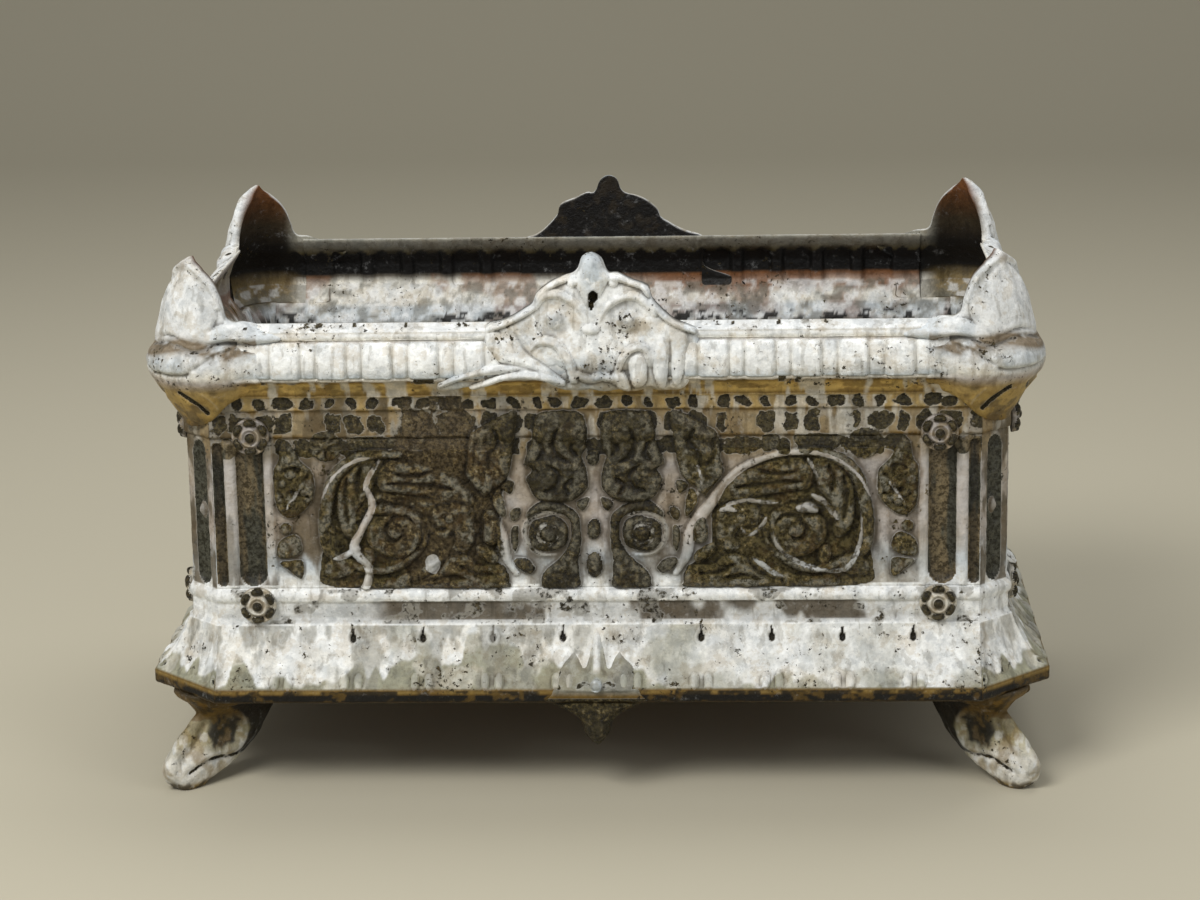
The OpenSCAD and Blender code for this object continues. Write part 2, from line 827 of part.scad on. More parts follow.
module front_wall() color(paint) long_wall();
module back_wall() color(paint) rotate([0, 0, 180]) long_wall();
module left_wall() color(paint) rotate([0, 0, -90]) end_wall();
module right_wall() color(paint) rotate([0, 0, 90]) end_wall();
module front_left_corner() color(paint) at_corner(false, false) corner_casting();
module front_right_corner() color(paint) at_corner(true, false) corner_casting();
module back_left_corner() color(paint) at_corner(false, true) corner_casting();
module back_right_corner() color(paint) at_corner(true, true) corner_casting();
module front_left_foot() color(beige) at_corner(false, false) foot();
module front_right_foot() color(beige) at_corner(true, false) foot();
module back_left_foot() color(beige) at_corner(false, true) foot();
module back_right_foot() color(beige) at_corner(true, true) foot();
module front_crest() color(paint) crest();
module back_crest() color(paint) rotate([0, 0, 180]) crest();
module front_pendant() color(olive) pendant();
module back_pendant() color(olive) rotate([0, 0, 180]) pendant();
module long_rosettes() translate([0, -body_d / 2, 0]) at_rosettes(seam_x) rosette_bolt();
module end_rosettes() translate([0, -body_w / 2, 0]) at_rosettes(seam_y) rosette_bolt();
module front_rosettes() color(olive) long_rosettes();
module back_rosettes() color(olive) rotate([0, 0, 180]) long_rosettes();
module left_rosettes() color(olive) rotate([0, 0, -90]) end_rosettes();
module right_rosettes() color(olive) rotate([0, 0, 90]) end_rosettes();
module rosette_nuts() color(rust) {
    for (turn = [0, 180])
        rotate([0, 0, turn])
            translate([0, -body_d / 2, 0]) at_rosettes(seam_x) rosette_nut();
    for (turn = [-90, 90])
        rotate([0, 0, turn])
            translate([0, -body_w / 2, 0]) at_rosettes(seam_y) rosette_nut();
}
module foot_bolts() color(rust) {
    at_corner(false, false) foot_bolt();
    at_corner(true, false) foot_bolt();
    at_corner(false, true) foot_bolt();
    at_corner(true, true) foot_bolt();
}
module crest_screws() color(rust) {
    for (turn = [0, 180])
        for (side = [-1, 1])
            rotate([0, 0, turn])
                translate([side * crest_lug_x, -body_d / 2, crest_lug_z])
                    crest_screw();
}
module pendant_screws() color(rust) {
    for (turn = [0, 180])
        rotate([0, 0, turn])
            translate([0, -body_d / 2, pendant_screw_z])
                pendant_screw();
}
module bottom_plate() color(rust) plate();

front_wall();
back_wall();
left_wall();
right_wall();
front_left_corner();
front_right_corner();
back_left_corner();
back_right_corner();
front_left_foot();
front_right_foot();
back_left_foot();
back_right_foot();
front_crest();
back_crest();
front_pendant();
back_pendant();
front_rosettes();
back_rosettes();
left_rosettes();
right_rosettes();
rosette_nuts();
foot_bolts();
crest_screws();
pendant_screws();
bottom_plate();
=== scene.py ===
import math
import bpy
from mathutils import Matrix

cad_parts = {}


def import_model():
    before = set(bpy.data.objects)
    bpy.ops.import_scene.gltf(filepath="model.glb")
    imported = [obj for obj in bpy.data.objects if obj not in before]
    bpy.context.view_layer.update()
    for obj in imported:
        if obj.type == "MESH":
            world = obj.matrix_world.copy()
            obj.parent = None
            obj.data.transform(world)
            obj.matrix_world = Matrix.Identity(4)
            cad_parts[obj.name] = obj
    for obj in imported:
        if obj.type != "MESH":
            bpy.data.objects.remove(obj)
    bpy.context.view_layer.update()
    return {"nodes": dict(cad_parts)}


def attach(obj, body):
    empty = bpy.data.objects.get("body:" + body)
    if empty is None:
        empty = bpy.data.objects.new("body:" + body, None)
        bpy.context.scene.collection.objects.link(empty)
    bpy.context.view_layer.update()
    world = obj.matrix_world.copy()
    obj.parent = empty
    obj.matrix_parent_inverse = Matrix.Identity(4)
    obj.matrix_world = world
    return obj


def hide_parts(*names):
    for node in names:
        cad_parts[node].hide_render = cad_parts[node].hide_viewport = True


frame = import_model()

from types import SimpleNamespace

import bpy
import numpy as np
from mathutils import Matrix, Vector

# Lengths are in millimetres up to the moment a mesh is made.
MM = 0.001

# Plan of the trough
BODY_W, BODY_D = 617.0, 353.0
CORNER_CUT = 21.0
WALL_T = 6.0
SEAM_X = BODY_W / 2 - CORNER_CUT
SEAM_Y = BODY_D / 2 - CORNER_CUT
LONG_SIDES, END_SIDES = ("front", "back"), ("right", "left")
CORNERS = {"front_left": (-1, -1), "front_right": (1, -1), "back_left": (-1, 1),
           "back_right": (1, 1)}

# Heights of the mouldings, and how far the lip and the cove stand out
Z_LIP, Z_FLARE, Z_SILL, Z_RIDGE, Z_FIELD = 74.0, 84.0, 127.0, 145.0, 154.0
Z_FRIEZE, Z_DART, Z_COVE, Z_GADROON = 271.0, 292.0, 304.0, 318.0
Z_RIM, Z_TOP = 353.0, 359.0
LIP_OUT, COVE_OUT = 34.0, 16.0

# Distances from the middle of a wall: gadroons, eyelets, rosettes and the rim's end
LOBE_PITCH = 34.1
LOBES = [89.7 + LOBE_PITCH * k for k in range(5)]
EYELETS = [25.5 + 53 * k for k in range(5)]
END_LOBES = [18.3 + 36.6 * k for k in range(3)]
END_EYELETS = [26.5, 79.5, 132.5]
ROSETTE_AT, END_ROSETTE_AT = 256, 124
RIM_HALF, END_RIM_HALF = 262.0, 130.0
ROSETTE_OUT = 5.2

# The photograph's camera: its place in metres, and its yaw, pitch and roll in degrees
CAMERA_AT = (0.10915, -2.4129, 0.81723)
CAMERA_TURN = (2.68, 13.96, 1.03)


# Curves and noise

def smooth(edge0, edge1, x):
    """Smooth step from 0 at edge0 to 1 at edge1."""
    t = np.clip((x - edge0) / (edge1 - edge0), 0.0, 1.0)
    return t * t * (3.0 - 2.0 * t)


def spots(x, z, cell, seed, low, high):
    """Patches of noise: 0 where it lies under low, 1 where it lies over high."""
    return smooth(low, high, fractal(x, z, cell, seed))


def bell(u):
    """A soft peak: 1 at 0, nearly 0 from 2 on."""
    return np.exp(-u ** 2)


def dome(q):
    """A half circle: 1 at 0, and 0 from 1 on."""
    return np.sqrt(np.clip(1 - q ** 2, 0, 1))


def rounded(d, width):
    """A quarter circle from 0 at a border to 1 at the depth of width."""
    return np.sqrt(1 - (1 - np.clip(d / width, 0, 1)) ** 2)


def spline(points, steps=5, closed=False):
    """Catmull-Rom curve through the points, whatever their dimension."""
    p = np.asarray(points, float)
    n = len(p)
    if closed:
        ids = [(i - 1, i, i + 1, i + 2) for i in range(n)]
    else:
        ids = [(max(i - 1, 0), i, i + 1, min(i + 2, n - 1)) for i in range(n - 1)]
    t = np.arange(steps)[:, None] / steps
    out = []
    for a, b, c, d in ids:
        a, b, c, d = (p[k % n] for k in (a, b, c, d))
        out.append(0.5 * (2 * b + (c - a) * t + (2 * a - 5 * b + 4 * c - d) * t ** 2
                          + (3 * b - a - 3 * c + d) * t ** 3))
    out = np.concatenate(out)
    return out if closed else np.vstack([out, p[-1]])


def bow(p, q, sag, steps=8):
    """Parabola from p to q, whose middle stands off by sag to the right of the way."""
    p, q = np.asarray(p, float), np.asarray(q, float)
    d = q - p
    side = np.array([d[1], -d[0]]) / np.hypot(*d)
    t = np.linspace(0, 1, steps + 1)[:, None]
    return p + d * t + side * 4 * sag * t * (1 - t)


def resample(points, spacing):
    """Points along a polyline at a nearly even spacing, corners kept."""
    p = np.asarray(points, float)
    out = [p[:1]]
    for a, b in zip(p[:-1], p[1:]):
        n = max(1, int(round(np.hypot(*(b - a)) / spacing)))
        out.append(a + (b - a) * (np.arange(1, n + 1)[:, None] / n))
    return np.concatenate(out)


def normals(pts):
    """Unit normals of a polyline, to the right of its way."""
    d = np.gradient(pts, axis=0)
    d /= np.hypot(d[:, 0], d[:, 1])[:, None] + 1e-9
    return np.stack([d[:, 1], -d[:, 0]], -1)


# Random values at the points of a lattice, which repeats
LATTICE = np.random.default_rng(7).random((97, 89, 3))


def noise(x, z, cell, seed=0):
    """Value noise between 0 and 1, with lumps about one cell across."""
    u, v = x / cell + 13.7 * seed, z / cell + 5.3 * seed
    i, j = np.floor(u).astype(int), np.floor(v).astype(int)
    fu, fv = u - i, v - j
    fu, fv = fu * fu * (3 - 2 * fu), fv * fv * (3 - 2 * fv)
    lat = LATTICE[:, :, seed % 3]

    def at(a, b):
        return lat[a % 97, b % 89]
    low = at(i, j) * (1 - fu) + at(i + 1, j) * fu
    high = at(i, j + 1) * (1 - fu) + at(i + 1, j + 1) * fu
    return low * (1 - fv) + high * fv


def fractal(x, z, cell, seed=0, octaves=4):
    """Sum of noises, each half as big and half as strong, about 0.5 in the mean."""
    total, weight = 0.0, 0.0
    for k in range(octaves):
        total = total + noise(x, z, cell / 2 ** k, seed + k) / 2 ** k
        weight += 1 / 2 ** k
    return total / weight


def blur(a, reach):
    """Box blur of a grid along both ways."""
    for axis in (0, 1):
        n = a.shape[axis]
        pad = [(0, 0), (0, 0)]
        pad[axis] = (reach + 1, reach)
        c = np.cumsum(np.pad(a, pad, mode="edge"), axis)
        a = (np.take(c, np.arange(2 * reach + 1, n + 2 * reach + 1), axis)
             - np.take(c, np.arange(n), axis)) / (2 * reach + 1)
    return a


# Relief: shapes raised on a plane with x to the right and z up

def outline_distance(pts, x, z):
    """Distance inside a closed outline, negative outside, and the nearest point of it."""
    best = np.full(x.shape, 1e9)
    nx, nz = x.copy(), z.copy()
    crossings = np.zeros(x.shape, int)
    for (ax, az), (bx, bz) in zip(pts, np.roll(pts, -1, 0)):
        dx, dz = bx - ax, bz - az
        t = np.clip(((x - ax) * dx + (z - az) * dz) / (dx * dx + dz * dz + 1e-9), 0, 1)
        qx, qz = ax + t * dx, az + t * dz
        dist = np.hypot(x - qx, z - qz)
        closer = dist < best
        best = np.where(closer, dist, best)
        nx, nz = np.where(closer, qx, nx), np.where(closer, qz, nz)
        spans = (az > z) != (bz > z)
        crossings += spans & (x - ax < dx * (z - az) / (dz if dz else 1e-9))
    return np.where(crossings % 2 == 1, best, -best), nx, nz


class Relief:
    """Heights and bareness on a grid of points. Bare is 1 where dark iron shows.

    The points of a shape count up from base, and are mirrored while side is -1."""

    def __init__(self, x, z, base=0.0):
        self.x, self.z = x, z
        self.side, self.base = 1, base
        self.h = np.zeros_like(x)
        self.bare = np.zeros_like(x)
        self.wobble = (fractal(x, z, 5, 3, 3) - 0.5) * 1.6

    def both(self):
        """The right and the left side in turn. After them, shapes lie as they are drawn."""
        for side in (1, -1):
            self.side = side
            yield side
        self.side = 1

    def at(self, points):
        return np.array(points, float) * (self.side, 1) + (0, self.base)

    def near(self, pts, reach):
        lo, hi = pts.min(0) - reach, pts.max(0) + reach
        m = (self.x > lo[0]) & (self.x < hi[0]) & (self.z > lo[1]) & (self.z < hi[1])
        return m, self.x[m], self.z[m]

    def colour(self, m, depth, bare, over):
        """Bareness inside a shape: over hides what is there, or else the darker one stays."""
        cover = smooth(-0.4, 0.8, depth + self.wobble[m] * 0.5)
        if over:
            self.bare[m] += (bare - self.bare[m]) * cover
        else:
            self.bare[m] = np.maximum(self.bare[m], bare * cover)

    def pillow(self, points, height, edge, bare=1.0, over=False):
        """A raised shape with a rounded border as wide as edge."""
        pts = spline(self.at(points), 4, closed=True)
        m, x, z = self.near(pts, 3.0)
        d = outline_distance(pts, x, z)[0]
        self.h[m] = np.maximum(self.h[m], height * rounded(d, edge))
        self.colour(m, d, bare, over)

    def path_distance(self, path, reach):
        """Distance from a polyline, and how far along it, from 0 to 1."""
        m, x, z = self.near(path, reach)
        a, b = path[:-1], path[1:]
        d = b - a
        px, pz = x[:, None] - a[:, 0], z[:, None] - a[:, 1]
        t = np.clip((px * d[:, 0] + pz * d[:, 1]) / ((d ** 2).sum(1) + 1e-9), 0, 1)
        dist = np.hypot(px - t * d[:, 0], pz - t * d[:, 1])
        k = dist.argmin(1)
        rows = np.arange(len(k))
        return m, dist[rows, k], (k + t[rows, k]) / len(d)

    def tube(self, points, radii, height, bare=1.0, over=False):
        """A rounded band along a path, whose half width runs through the radii."""
        m, d, t = self.path_distance(spline(self.at(points), 5), max(radii) + 2)
        r = np.interp(t, np.linspace(0, 1, len(radii)), radii)
        rise = height * dome(d / r) * np.clip(r / max(radii), 0.4, 1)
        self.h[m] = np.maximum(self.h[m], rise)
        self.colour(m, r - d, bare, over)

    def ridge(self, points, radius, height, bare=None, taper=False):
        """A soft ridge, or a groove if height is negative, on top of what is there."""
        m, d, t = self.path_distance(spline(self.at(points), 5), radius * 2.5)
        ends = np.minimum(t, 1 - t)
        if taper:
            radius = radius * np.minimum(1, 0.3 + 2.8 * ends)
        fall = bell(d / radius) * np.minimum(1, 6 * ends + 0.3)
        self.h[m] += height * fall
        if bare is not None:
            self.bare[m] += (bare - self.bare[m]) * smooth(0.35, 0.75, fall)

    def bead(self, centre, rx, rz, height, bare=1.0):
        """A drop or boss, rounded like an egg."""
        c = self.at([centre])
        m, x, z = self.near(c, max(rx, rz) + 2)
        q = np.hypot((x - c[0, 0]) / rx, (z - c[0, 1]) / rz)
        top = np.maximum(self.h[m] * 0.6, 0) + height * dome(q)
        self.h[m] = np.where(q < 1, top, self.h[m])
        self.bare[m] = np.where(q < 1, bare, self.bare[m])


# Outlines on the right half of the long panel: distance from its middle, height over its foot.
# Each has its height and the width of its rounded border.
LEAVES = {
    "bulb": (6.0, 9, [
        (11, 137), (5, 123), (6, 109), (9, 102), (6, 93), (5, 80), (8, 74), (16, 68), (28, 66), (40, 68),
        (46, 72), (49, 79), (51, 85), (47, 92), (52, 96), (51, 103), (47, 112), (45, 124), (39, 137)]),
    "stem": (4.6, 6, [
        (40, 0), (14, 0), (12, 10), (13, 21), (11, 34), (11, 46), (12, 56), (19, 63), (30, 68),
        (40, 68), (50, 61), (51, 55), (43, 59), (32, 60), (22, 56), (18, 48), (19, 38), (23, 29),
        (30, 21), (39, 13)]),
    "bud": (5.0, 7, [
        (20, 42), (22, 51), (29, 56), (38, 56), (47, 52), (50, 44), (48, 34), (41, 29), (32, 29),
        (23, 33)]),
    "petal": (5.6, 8, [
        (57, 136), (60, 109), (62, 97), (64, 89), (70, 81), (76, 78), (82, 71), (84, 73), (91, 81),
        (96, 89), (95, 97), (94, 107), (92, 120), (80, 128), (66, 136)]),
    "tip_a": (2.6, 3, [(61, 83), (67, 83), (70, 79), (66, 74), (63, 73), (61, 77)]),
    "tip_b": (3.0, 3, [(71, 77), (75, 75), (77, 68), (73, 59), (69, 55), (67, 58), (68, 68)]),
    "tip_c": (2.4, 3, [(56, 62), (61, 62), (64, 58), (62, 52), (57, 55)]),
    "tip_d": (2.4, 3, [(58, 48), (63, 47), (63, 36), (61, 28), (58, 34)]),
    "drop_a": (4.5, 5, [(46, 17), (52, 23), (60, 24), (62, 20), (57, 14), (50, 11), (47, 13)]),
    "tip_e": (3.0, 4, [(77, 54), (82, 55), (84, 46), (84, 37), (77, 34), (73, 39), (74, 48)]),
    "drop_b": (4.5, 5, [(73, 25), (80, 32), (88, 35), (90, 28), (83, 22), (76, 19)]),
    "dome": (4.8, 8, [
        (67, 13), (70, 18), (80, 19), (89, 19), (95, 25), (104, 27), (112, 24), (118, 15),
        (130, 8), (139, 4), (128, 0), (70, 0), (66, 6)]),
    "lobe_left": (4.6, 7, [
        (122, 94), (133, 98), (144, 100), (151, 101), (157, 98), (162, 91), (163, 82), (159, 76),
        (151, 75), (136, 73), (124, 71), (113, 69), (103, 68), (93, 64), (91, 70), (98, 81),
        (108, 90)]),
    "lobe_right": (4.8, 7, [
        (164, 102), (175, 101), (185, 93), (192, 83), (194, 68), (193, 52), (188, 41), (180, 39),
        (177, 47), (180, 57), (174, 68), (166, 77), (166, 85), (162, 94)]),
    "spray": (3.4, 6, [
        (92, 63), (101, 66), (113, 66), (122, 62), (124, 53), (119, 47), (109, 47), (105, 39),
        (108, 31), (99, 28), (91, 36), (90, 50)]),
    "whorl": (5.2, 10, [
        (127, 47), (130, 57), (139, 63), (149, 66), (156, 62), (165, 59), (172, 51), (173, 40),
        (168, 31), (159, 25), (148, 24), (138, 29), (131, 36)]),
    "whorl_leaf": (7.0, 4, [
        (149, 63), (154, 66), (161, 67), (167, 62), (166, 58), (157, 58), (151, 59)]),
    "low_tip": (3.6, 4, [(167, 31), (174, 33), (176, 24), (173, 18), (168, 18), (166, 24)]),
    "under": (3.4, 5, [
        (141, 12), (151, 10), (162, 9), (173, 11), (180, 8), (183, 3), (174, 0), (151, 0),
        (141, 1)]),
    "foot_leaf": (4.2, 6, [
        (180, 20), (190, 28), (197, 27), (204, 20), (205, 13), (200, 8), (190, 10), (183, 14)]),
    "cluster": (3.6, 6, [
        (220, 100), (212, 92), (210, 82), (211, 72), (217, 63), (226, 56), (233, 56), (239, 63),
        (241, 77), (241, 92), (237, 100), (235, 111), (230, 116), (225, 110)]),
    "side_leaf": (3.4, 5, [
        (222, 38), (227, 43), (235, 40), (240, 35), (240, 25), (231, 24), (222, 29)]),
    "side_foot": (3.4, 4, [(221, 21), (226, 23), (239, 21), (233, 15), (224, 8), (221, 11)]),
    "tab_a": (1.2, 3, [(126, 118), (137, 118), (137, 108), (132, 106), (127, 108)]),
    "tab_b": (1.2, 3, [(151, 118), (183, 118), (182, 108), (175, 106), (162, 108), (151, 109)]),
    "node_leaf": (2.4, 3, [(4, 70), (9, 70), (14, 66), (10, 60), (6, 63)]),
}

# The dark ground within the main scroll
SHADE = [
    (66, 4), (66, 12), (76, 22), (86, 30), (87, 55), (89, 70), (95, 82), (108, 94), (123, 101),
    (139, 105), (156, 108), (174, 106), (189, 98), (198, 87), (203, 73), (206, 58), (207, 43),
    (206, 30), (208, 16), (207, 4), (180, 0), (120, -1), (70, 0)]

# The pale trunk that leads into the scroll from the foot, and its half widths
TRUNK = [(60, 12), (68, 26), (71, 41), (79, 56), (87, 66), (93, 76), (105, 89), (119, 97),
         (137, 103), (158, 105), (172, 103), (182, 99), (191, 93), (198, 85), (205, 71)]

TRUNK_W = [2.4, 4.2, 5.2, 5.2, 4.4, 3.4, 3.0, 2.8, 2.6, 2.2, 1.9, 1.7, 1.5, 1.5, 1.2]

# The scroll's dark band winds in from the petal over the top to its eye.
SCROLL = [
    (146, 104), (160, 105), (174, 103), (188, 95), (196, 85), (200, 72), (203, 58), (204, 43),
    (202, 31), (194, 24), (185, 21), (176, 17), (162, 14), (150, 17), (139, 24), (130, 34),
    (127, 46)]

SCROLL_W = [2.6, 4.4, 5.0, 5.0, 4.6, 3.8, 3.4, 3.2, 3.0, 2.6, 2.2]

# Veins are ridges of pale paint on a leaf: half width and path. The first few lie in the
# scroll, and show no paint on the left.
SCROLL_VEINS = 6

VEINS = [
    (2.0, [(158, 101), (163, 92), (168, 79)]),
    (3.2, [(160, 73), (170, 67), (177, 59), (182, 52)]),
    (2.2, [(96, 64), (106, 67), (116, 68), (128, 66), (139, 66)]),
    (2.2, [(108, 50), (112, 43), (118, 42), (125, 49), (129, 57)]),
    (2.8, [(116, 24), (126, 17), (134, 11), (142, 8)]),
    (2.5, [(132, 53), (134, 38), (139, 29), (152, 20), (170, 14), (185, 14), (195, 27), (199, 46),
           (197, 68)]),
    (2.2, [(92, 60), (99, 62), (107, 60)]),
    (2.4, [(22, 55), (33, 59), (46, 56), (53, 47), (51, 36), (42, 27), (30, 26)]),
    (1.8, [(76, 70), (80, 84), (76, 98)]),
    (1.8, [(218, 84), (226, 72), (232, 62)]),
]

# Pale paint that runs down over the left scroll: half widths and path
STREAMS = [
    ([1.6, 2.4, 3.2, 3.0, 4.2, 3.2, 3.8],
     [(-161, 100), (-171, 82), (-167, 65), (-176, 46), (-182, 31), (-171, 17), (-174, 2)]),
    ([1.2, 2.6, 3.4], [(-197, 25), (-188, 27), (-180, 32)]),
]

# Grooves are cut between leaves.
GROOVES = [
    [(76, 126), (71, 114), (79, 103), (77, 90)], [(87, 116), (90, 104), (84, 96)],
    [(26, 126), (31, 113), (26, 102), (18, 98)], [(34, 96), (26, 88), (30, 78), (39, 76)],
    [(13, 118), (17, 109), (12, 102)], [(42, 116), (38, 106), (43, 99)], [(15, 86), (22, 80), (18, 73)],
    [(134, 50), (142, 57), (152, 55), (158, 46), (152, 38), (145, 42)],
    [(185, 88), (188, 70), (185, 52)], [(174, 96), (178, 84), (176, 74)],
    [(120, 92), (134, 88), (150, 90)], [(104, 78), (120, 80), (140, 82), (156, 82)],
    [(76, 12), (90, 12), (104, 19)], [(96, 8), (112, 10), (124, 6)],
    [(214, 86), (224, 94), (233, 92)], [(214, 72), (224, 76), (236, 72)],
]

# Each berry has its place and radius.
BERRIES = [
    (225, 81, 4.0), (231, 74, 4.0), (226, 66, 3.6), (218, 91, 3.6), (228, 90, 4.2), (235, 83, 4.0),
    (230, 102, 4.4), (233, 47, 4.6), (153, 79, 3.4), (109, 55, 3.6), (35, 43, 6.0), (150, 45, 6.5),
    (218, 76, 3.2), (235, 64, 3.2),
]

FLOWER = (201, 111)

# Middle, half width and half height of the worn stretch on the left
BLOTCH = (-114, 62, 50, 96)


def panel_relief(x, z):
    """The scroll relief of a long panel, mirrored about its middle."""
    r = Relief(x, z, Z_FIELD)
    for side in r.both():
        right = side > 0
        r.pillow(SHADE, 0.7, 4)
        for height, edge, points in LEAVES.values():
            r.pillow(points, height, edge)
        r.tube(SCROLL, SCROLL_W, 6.4)
        low, high = (6, 4) if right else (4, 9)
        r.tube(TRUNK[high:], TRUNK_W[high:], 4.2, bare=0.25, over=True)
        r.tube(TRUNK[:low], TRUNK_W[:low], 4.2, bare=0.08, over=True)
        height, edge, points = LEAVES["tip_e"]
        r.pillow(points, height + 2.4, edge)
        for path in GROOVES:
            r.ridge(path, 2.3, -2.8, taper=True)
        for k, (radius, path) in enumerate(VEINS):
            shown = right or k >= SCROLL_VEINS
            r.ridge(path, radius * 1.15, 2.1, 0.4 if shown else None, taper=True)
        if right:
            height, edge, points = LEAVES["whorl_leaf"]
            r.pillow(points, height + 0.3, edge, bare=0.4, over=True)
        r.bead((36, 43), 9, 10, 3.0, bare=0.55)
        for bx, bz, radius in BERRIES:
            r.bead((bx, bz), radius, radius, 3.4)
        r.bead(FLOWER, 12, 12, 2.6)
        for k in range(8):
            ray = (math.cos(math.radians(45 * k)), math.sin(math.radians(45 * k)))
            r.ridge(FLOWER + np.outer((3, 10), ray), 1.2, -1.2)
        r.bead(FLOWER, 4, 4, 1.8)
    for z0, rx, rz, height in ((101, 4.6, 6, 3.4), (46, 5.2, 8, 4.6), (18, 6, 10, 4.4)):
        r.bead((-1, z0), rx, rz, height)
    for radii, path in STREAMS:
        r.tube(path, radii, 5.0, bare=0.1, over=True)
    crumpled = (fractal(x, z, 10, 2) - 0.5) * 2.6 + np.abs(noise(x, z, 5, 1) - 0.5) * 1.8 - 0.4
    r.h += r.bare * crumpled * smooth(0.2, 2.5, r.h)
    return r


def worn_blotch(r):
    """The brown stretch on the left where the paint has come off, and the pale oval in it."""
    cx, cz, rx, rz = BLOTCH
    q = np.hypot((r.x - cx) / rx, (r.z - Z_FIELD - cz) / rz)
    q = q + (fractal(r.x, r.z * 0.4, 13, 1) - 0.5) * 1.1
    r.bare = np.maximum(r.bare, 0.85 * smooth(1.15, 0.7, q))
    pale = np.hypot((r.x + 123) / 6, (r.z - Z_FIELD - 19) / 8)
    r.bare = r.bare * (1 - 0.95 * smooth(1.15, 0.8, pale + r.wobble * 0.15))
    return r


def flute(x, lo, hi, z, depth, low=Z_FIELD + 2, high=Z_FRIEZE - 3):
    """A groove with a round section and round ends."""
    half = (hi - lo) / 2
    over = np.maximum(np.maximum(low + half - z, z - high + half), 0)
    q = np.hypot(x - (lo + hi) / 2, over) / half
    return -depth * dome(q), q < 1


def pilasters(r, half):
    """The strips and flutes beside a panel, measured in from the seam at half."""
    ax = half - np.abs(r.x)
    body = (r.z > Z_FIELD + 1) & (r.z < Z_FRIEZE - 2)
    for lo, hi, depth in ((0.6, 9, 3.0), (18, 39, 4.6)):
        cut, inside = flute(ax, lo, hi, r.z, depth)
        r.h = np.where(inside, cut, r.h)
        r.bare = np.where(inside, np.where(cut < -0.5, 0.85, 0.4), r.bare)
    for lo, hi, rise in ((9.5, 17.5, 1.6), (39.5, 46.5, 1.4)):
        u = (ax - (lo + hi) / 2) / ((hi - lo) / 2)
        r.h += np.where(body, rise * np.clip(1 - u ** 4, 0, 1), 0)
    return r


def long_relief(x, z):
    """The long panel's relief, with strips and flutes at its ends."""
    r = worn_blotch(panel_relief(x, z))
    m = (np.abs(x) > 242) & (z > Z_FIELD)
    r.h[m], r.bare[m] = 0, 0
    return pilasters(r, SEAM_X)


def end_relief(x, z):
    """The end panel has the middle and the border of the long one, drawn together."""
    ax = np.abs(x)
    shift = np.where(ax < 62, 0.0, 132.0)
    r = panel_relief(np.sign(x) * (ax + shift), z)
    r.x = x
    m = ax > 109
    r.h[m], r.bare[m] = 0, 0
    return pilasters(r, SEAM_Y)


# Colours

def linear(code):
    """An #RRGGBB colour as linear values."""
    v = np.array([int(code[i:i + 2], 16) for i in (1, 3, 5)]) / 255
    return np.where(v <= 0.04045, v / 12.92, ((v + 0.055) / 1.055) ** 2.4)


CREAM, WHITE, BLUISH = linear("#E2DFD4"), linear("#E9EBEA"), linear("#B8C1C7")
# The third colour on the next line, a near black, serves for soot and for painted shade.
GREY, BROWN, SHADE_AND_SOOT = linear("#8A887C"), linear("#4E4330"), linear("#0E0C09")
GOLD, TAN, LILAC = linear("#9C834A"), linear("#A18A58"), linear("#B0A9A3")
SLATE, OLIVE, BEIGE = linear("#4A4A40"), linear("#423B24"), linear("#A39A80")
CHALK, RUST, OCHRE = linear("#CCD3D6"), linear("#82522A"), linear("#6A5220")
UMBER, SAGE, STONE = linear("#8C7C5E"), linear("#94937F"), linear("#B4AB86")
COLD, WARM, GRIME = linear("#A9B1B8"), linear("#C4AC80"), linear("#867C66")
OLD_GOLD, FLAKES, OLD_RUST = linear("#8A784C"), linear("#C0BBA6"), linear("#5A4424")

# Colours that change with height: outside of the rim, outside of a wall, inside
# Painted shade in the rim's bands: blue-grey at the gadroons' lower ends near 322, and a grey line under
# the bead at 346.5.
RIM_BANDS = [
    (304, TAN * 0.95), (305, OCHRE), (308, GOLD * 1.5), (314, GOLD * 1.6), (316.5, OCHRE * 1.5),
    (319, CREAM * 0.8), (322, BLUISH * 1.05), (327, WHITE * 0.95), (333, WHITE * 1.02),
    (345, WHITE * 1.02), (346.5, LILAC), (348, CREAM), (352, WHITE * 0.95), (353, CREAM * 0.7),
    (354, WHITE * 0.92), (359, WHITE * 0.85)]

WALL_BANDS = [
    (74, OCHRE * 0.5), (76, SHADE_AND_SOOT), (80, SHADE_AND_SOOT), (81, OCHRE * 0.9), (82.5, GOLD * 0.8),
    (84, OCHRE), (85.5, SAGE), (96, SAGE * 1.15), (112, WHITE * 0.92), (127, WHITE),
    (129, WHITE * 0.62), (131, WHITE * 0.68), (143, WHITE * 0.76), (145, WHITE), (154, WHITE),
    (157, WHITE), (175, BLUISH), (195, LILAC * 1.05), (225, LILAC * 0.95), (250, LILAC * 0.82),
    (262, UMBER), (269.5, UMBER * 0.8), (271, OCHRE * 0.9), (273, OCHRE), (275, UMBER),
    (289, UMBER * 1.05), (292, OCHRE), (294, TAN)] + RIM_BANDS

INNER_BANDS = [(70, SHADE_AND_SOOT), (125, BROWN * 0.6), (150, RUST * 0.7), (200, CHALK * 0.6),
               (255, CHALK * 0.9), (284, CHALK), (300, CHALK)]


def blend(a, b, t):
    """Mix of two colours, or of two fields of colours, by a field t."""
    a, b = np.broadcast_to(a, t.shape + (3,)), np.broadcast_to(b, t.shape + (3,))
    return a + (b - a) * t[..., None]


def coats(colour, *layers):
    """Colours blended over a first one, each by its own field."""
    for other, t in layers:
        colour = blend(colour, other, t)
    return colour


def bands(z, stops):
    """Colours that change with height, from a list of (height, colour)."""
    at = np.array([s[0] for s in stops], float)
    c = np.array([s[1] for s in stops])
    return np.stack([np.interp(z, at, c[:, k]) for k in range(3)], -1)


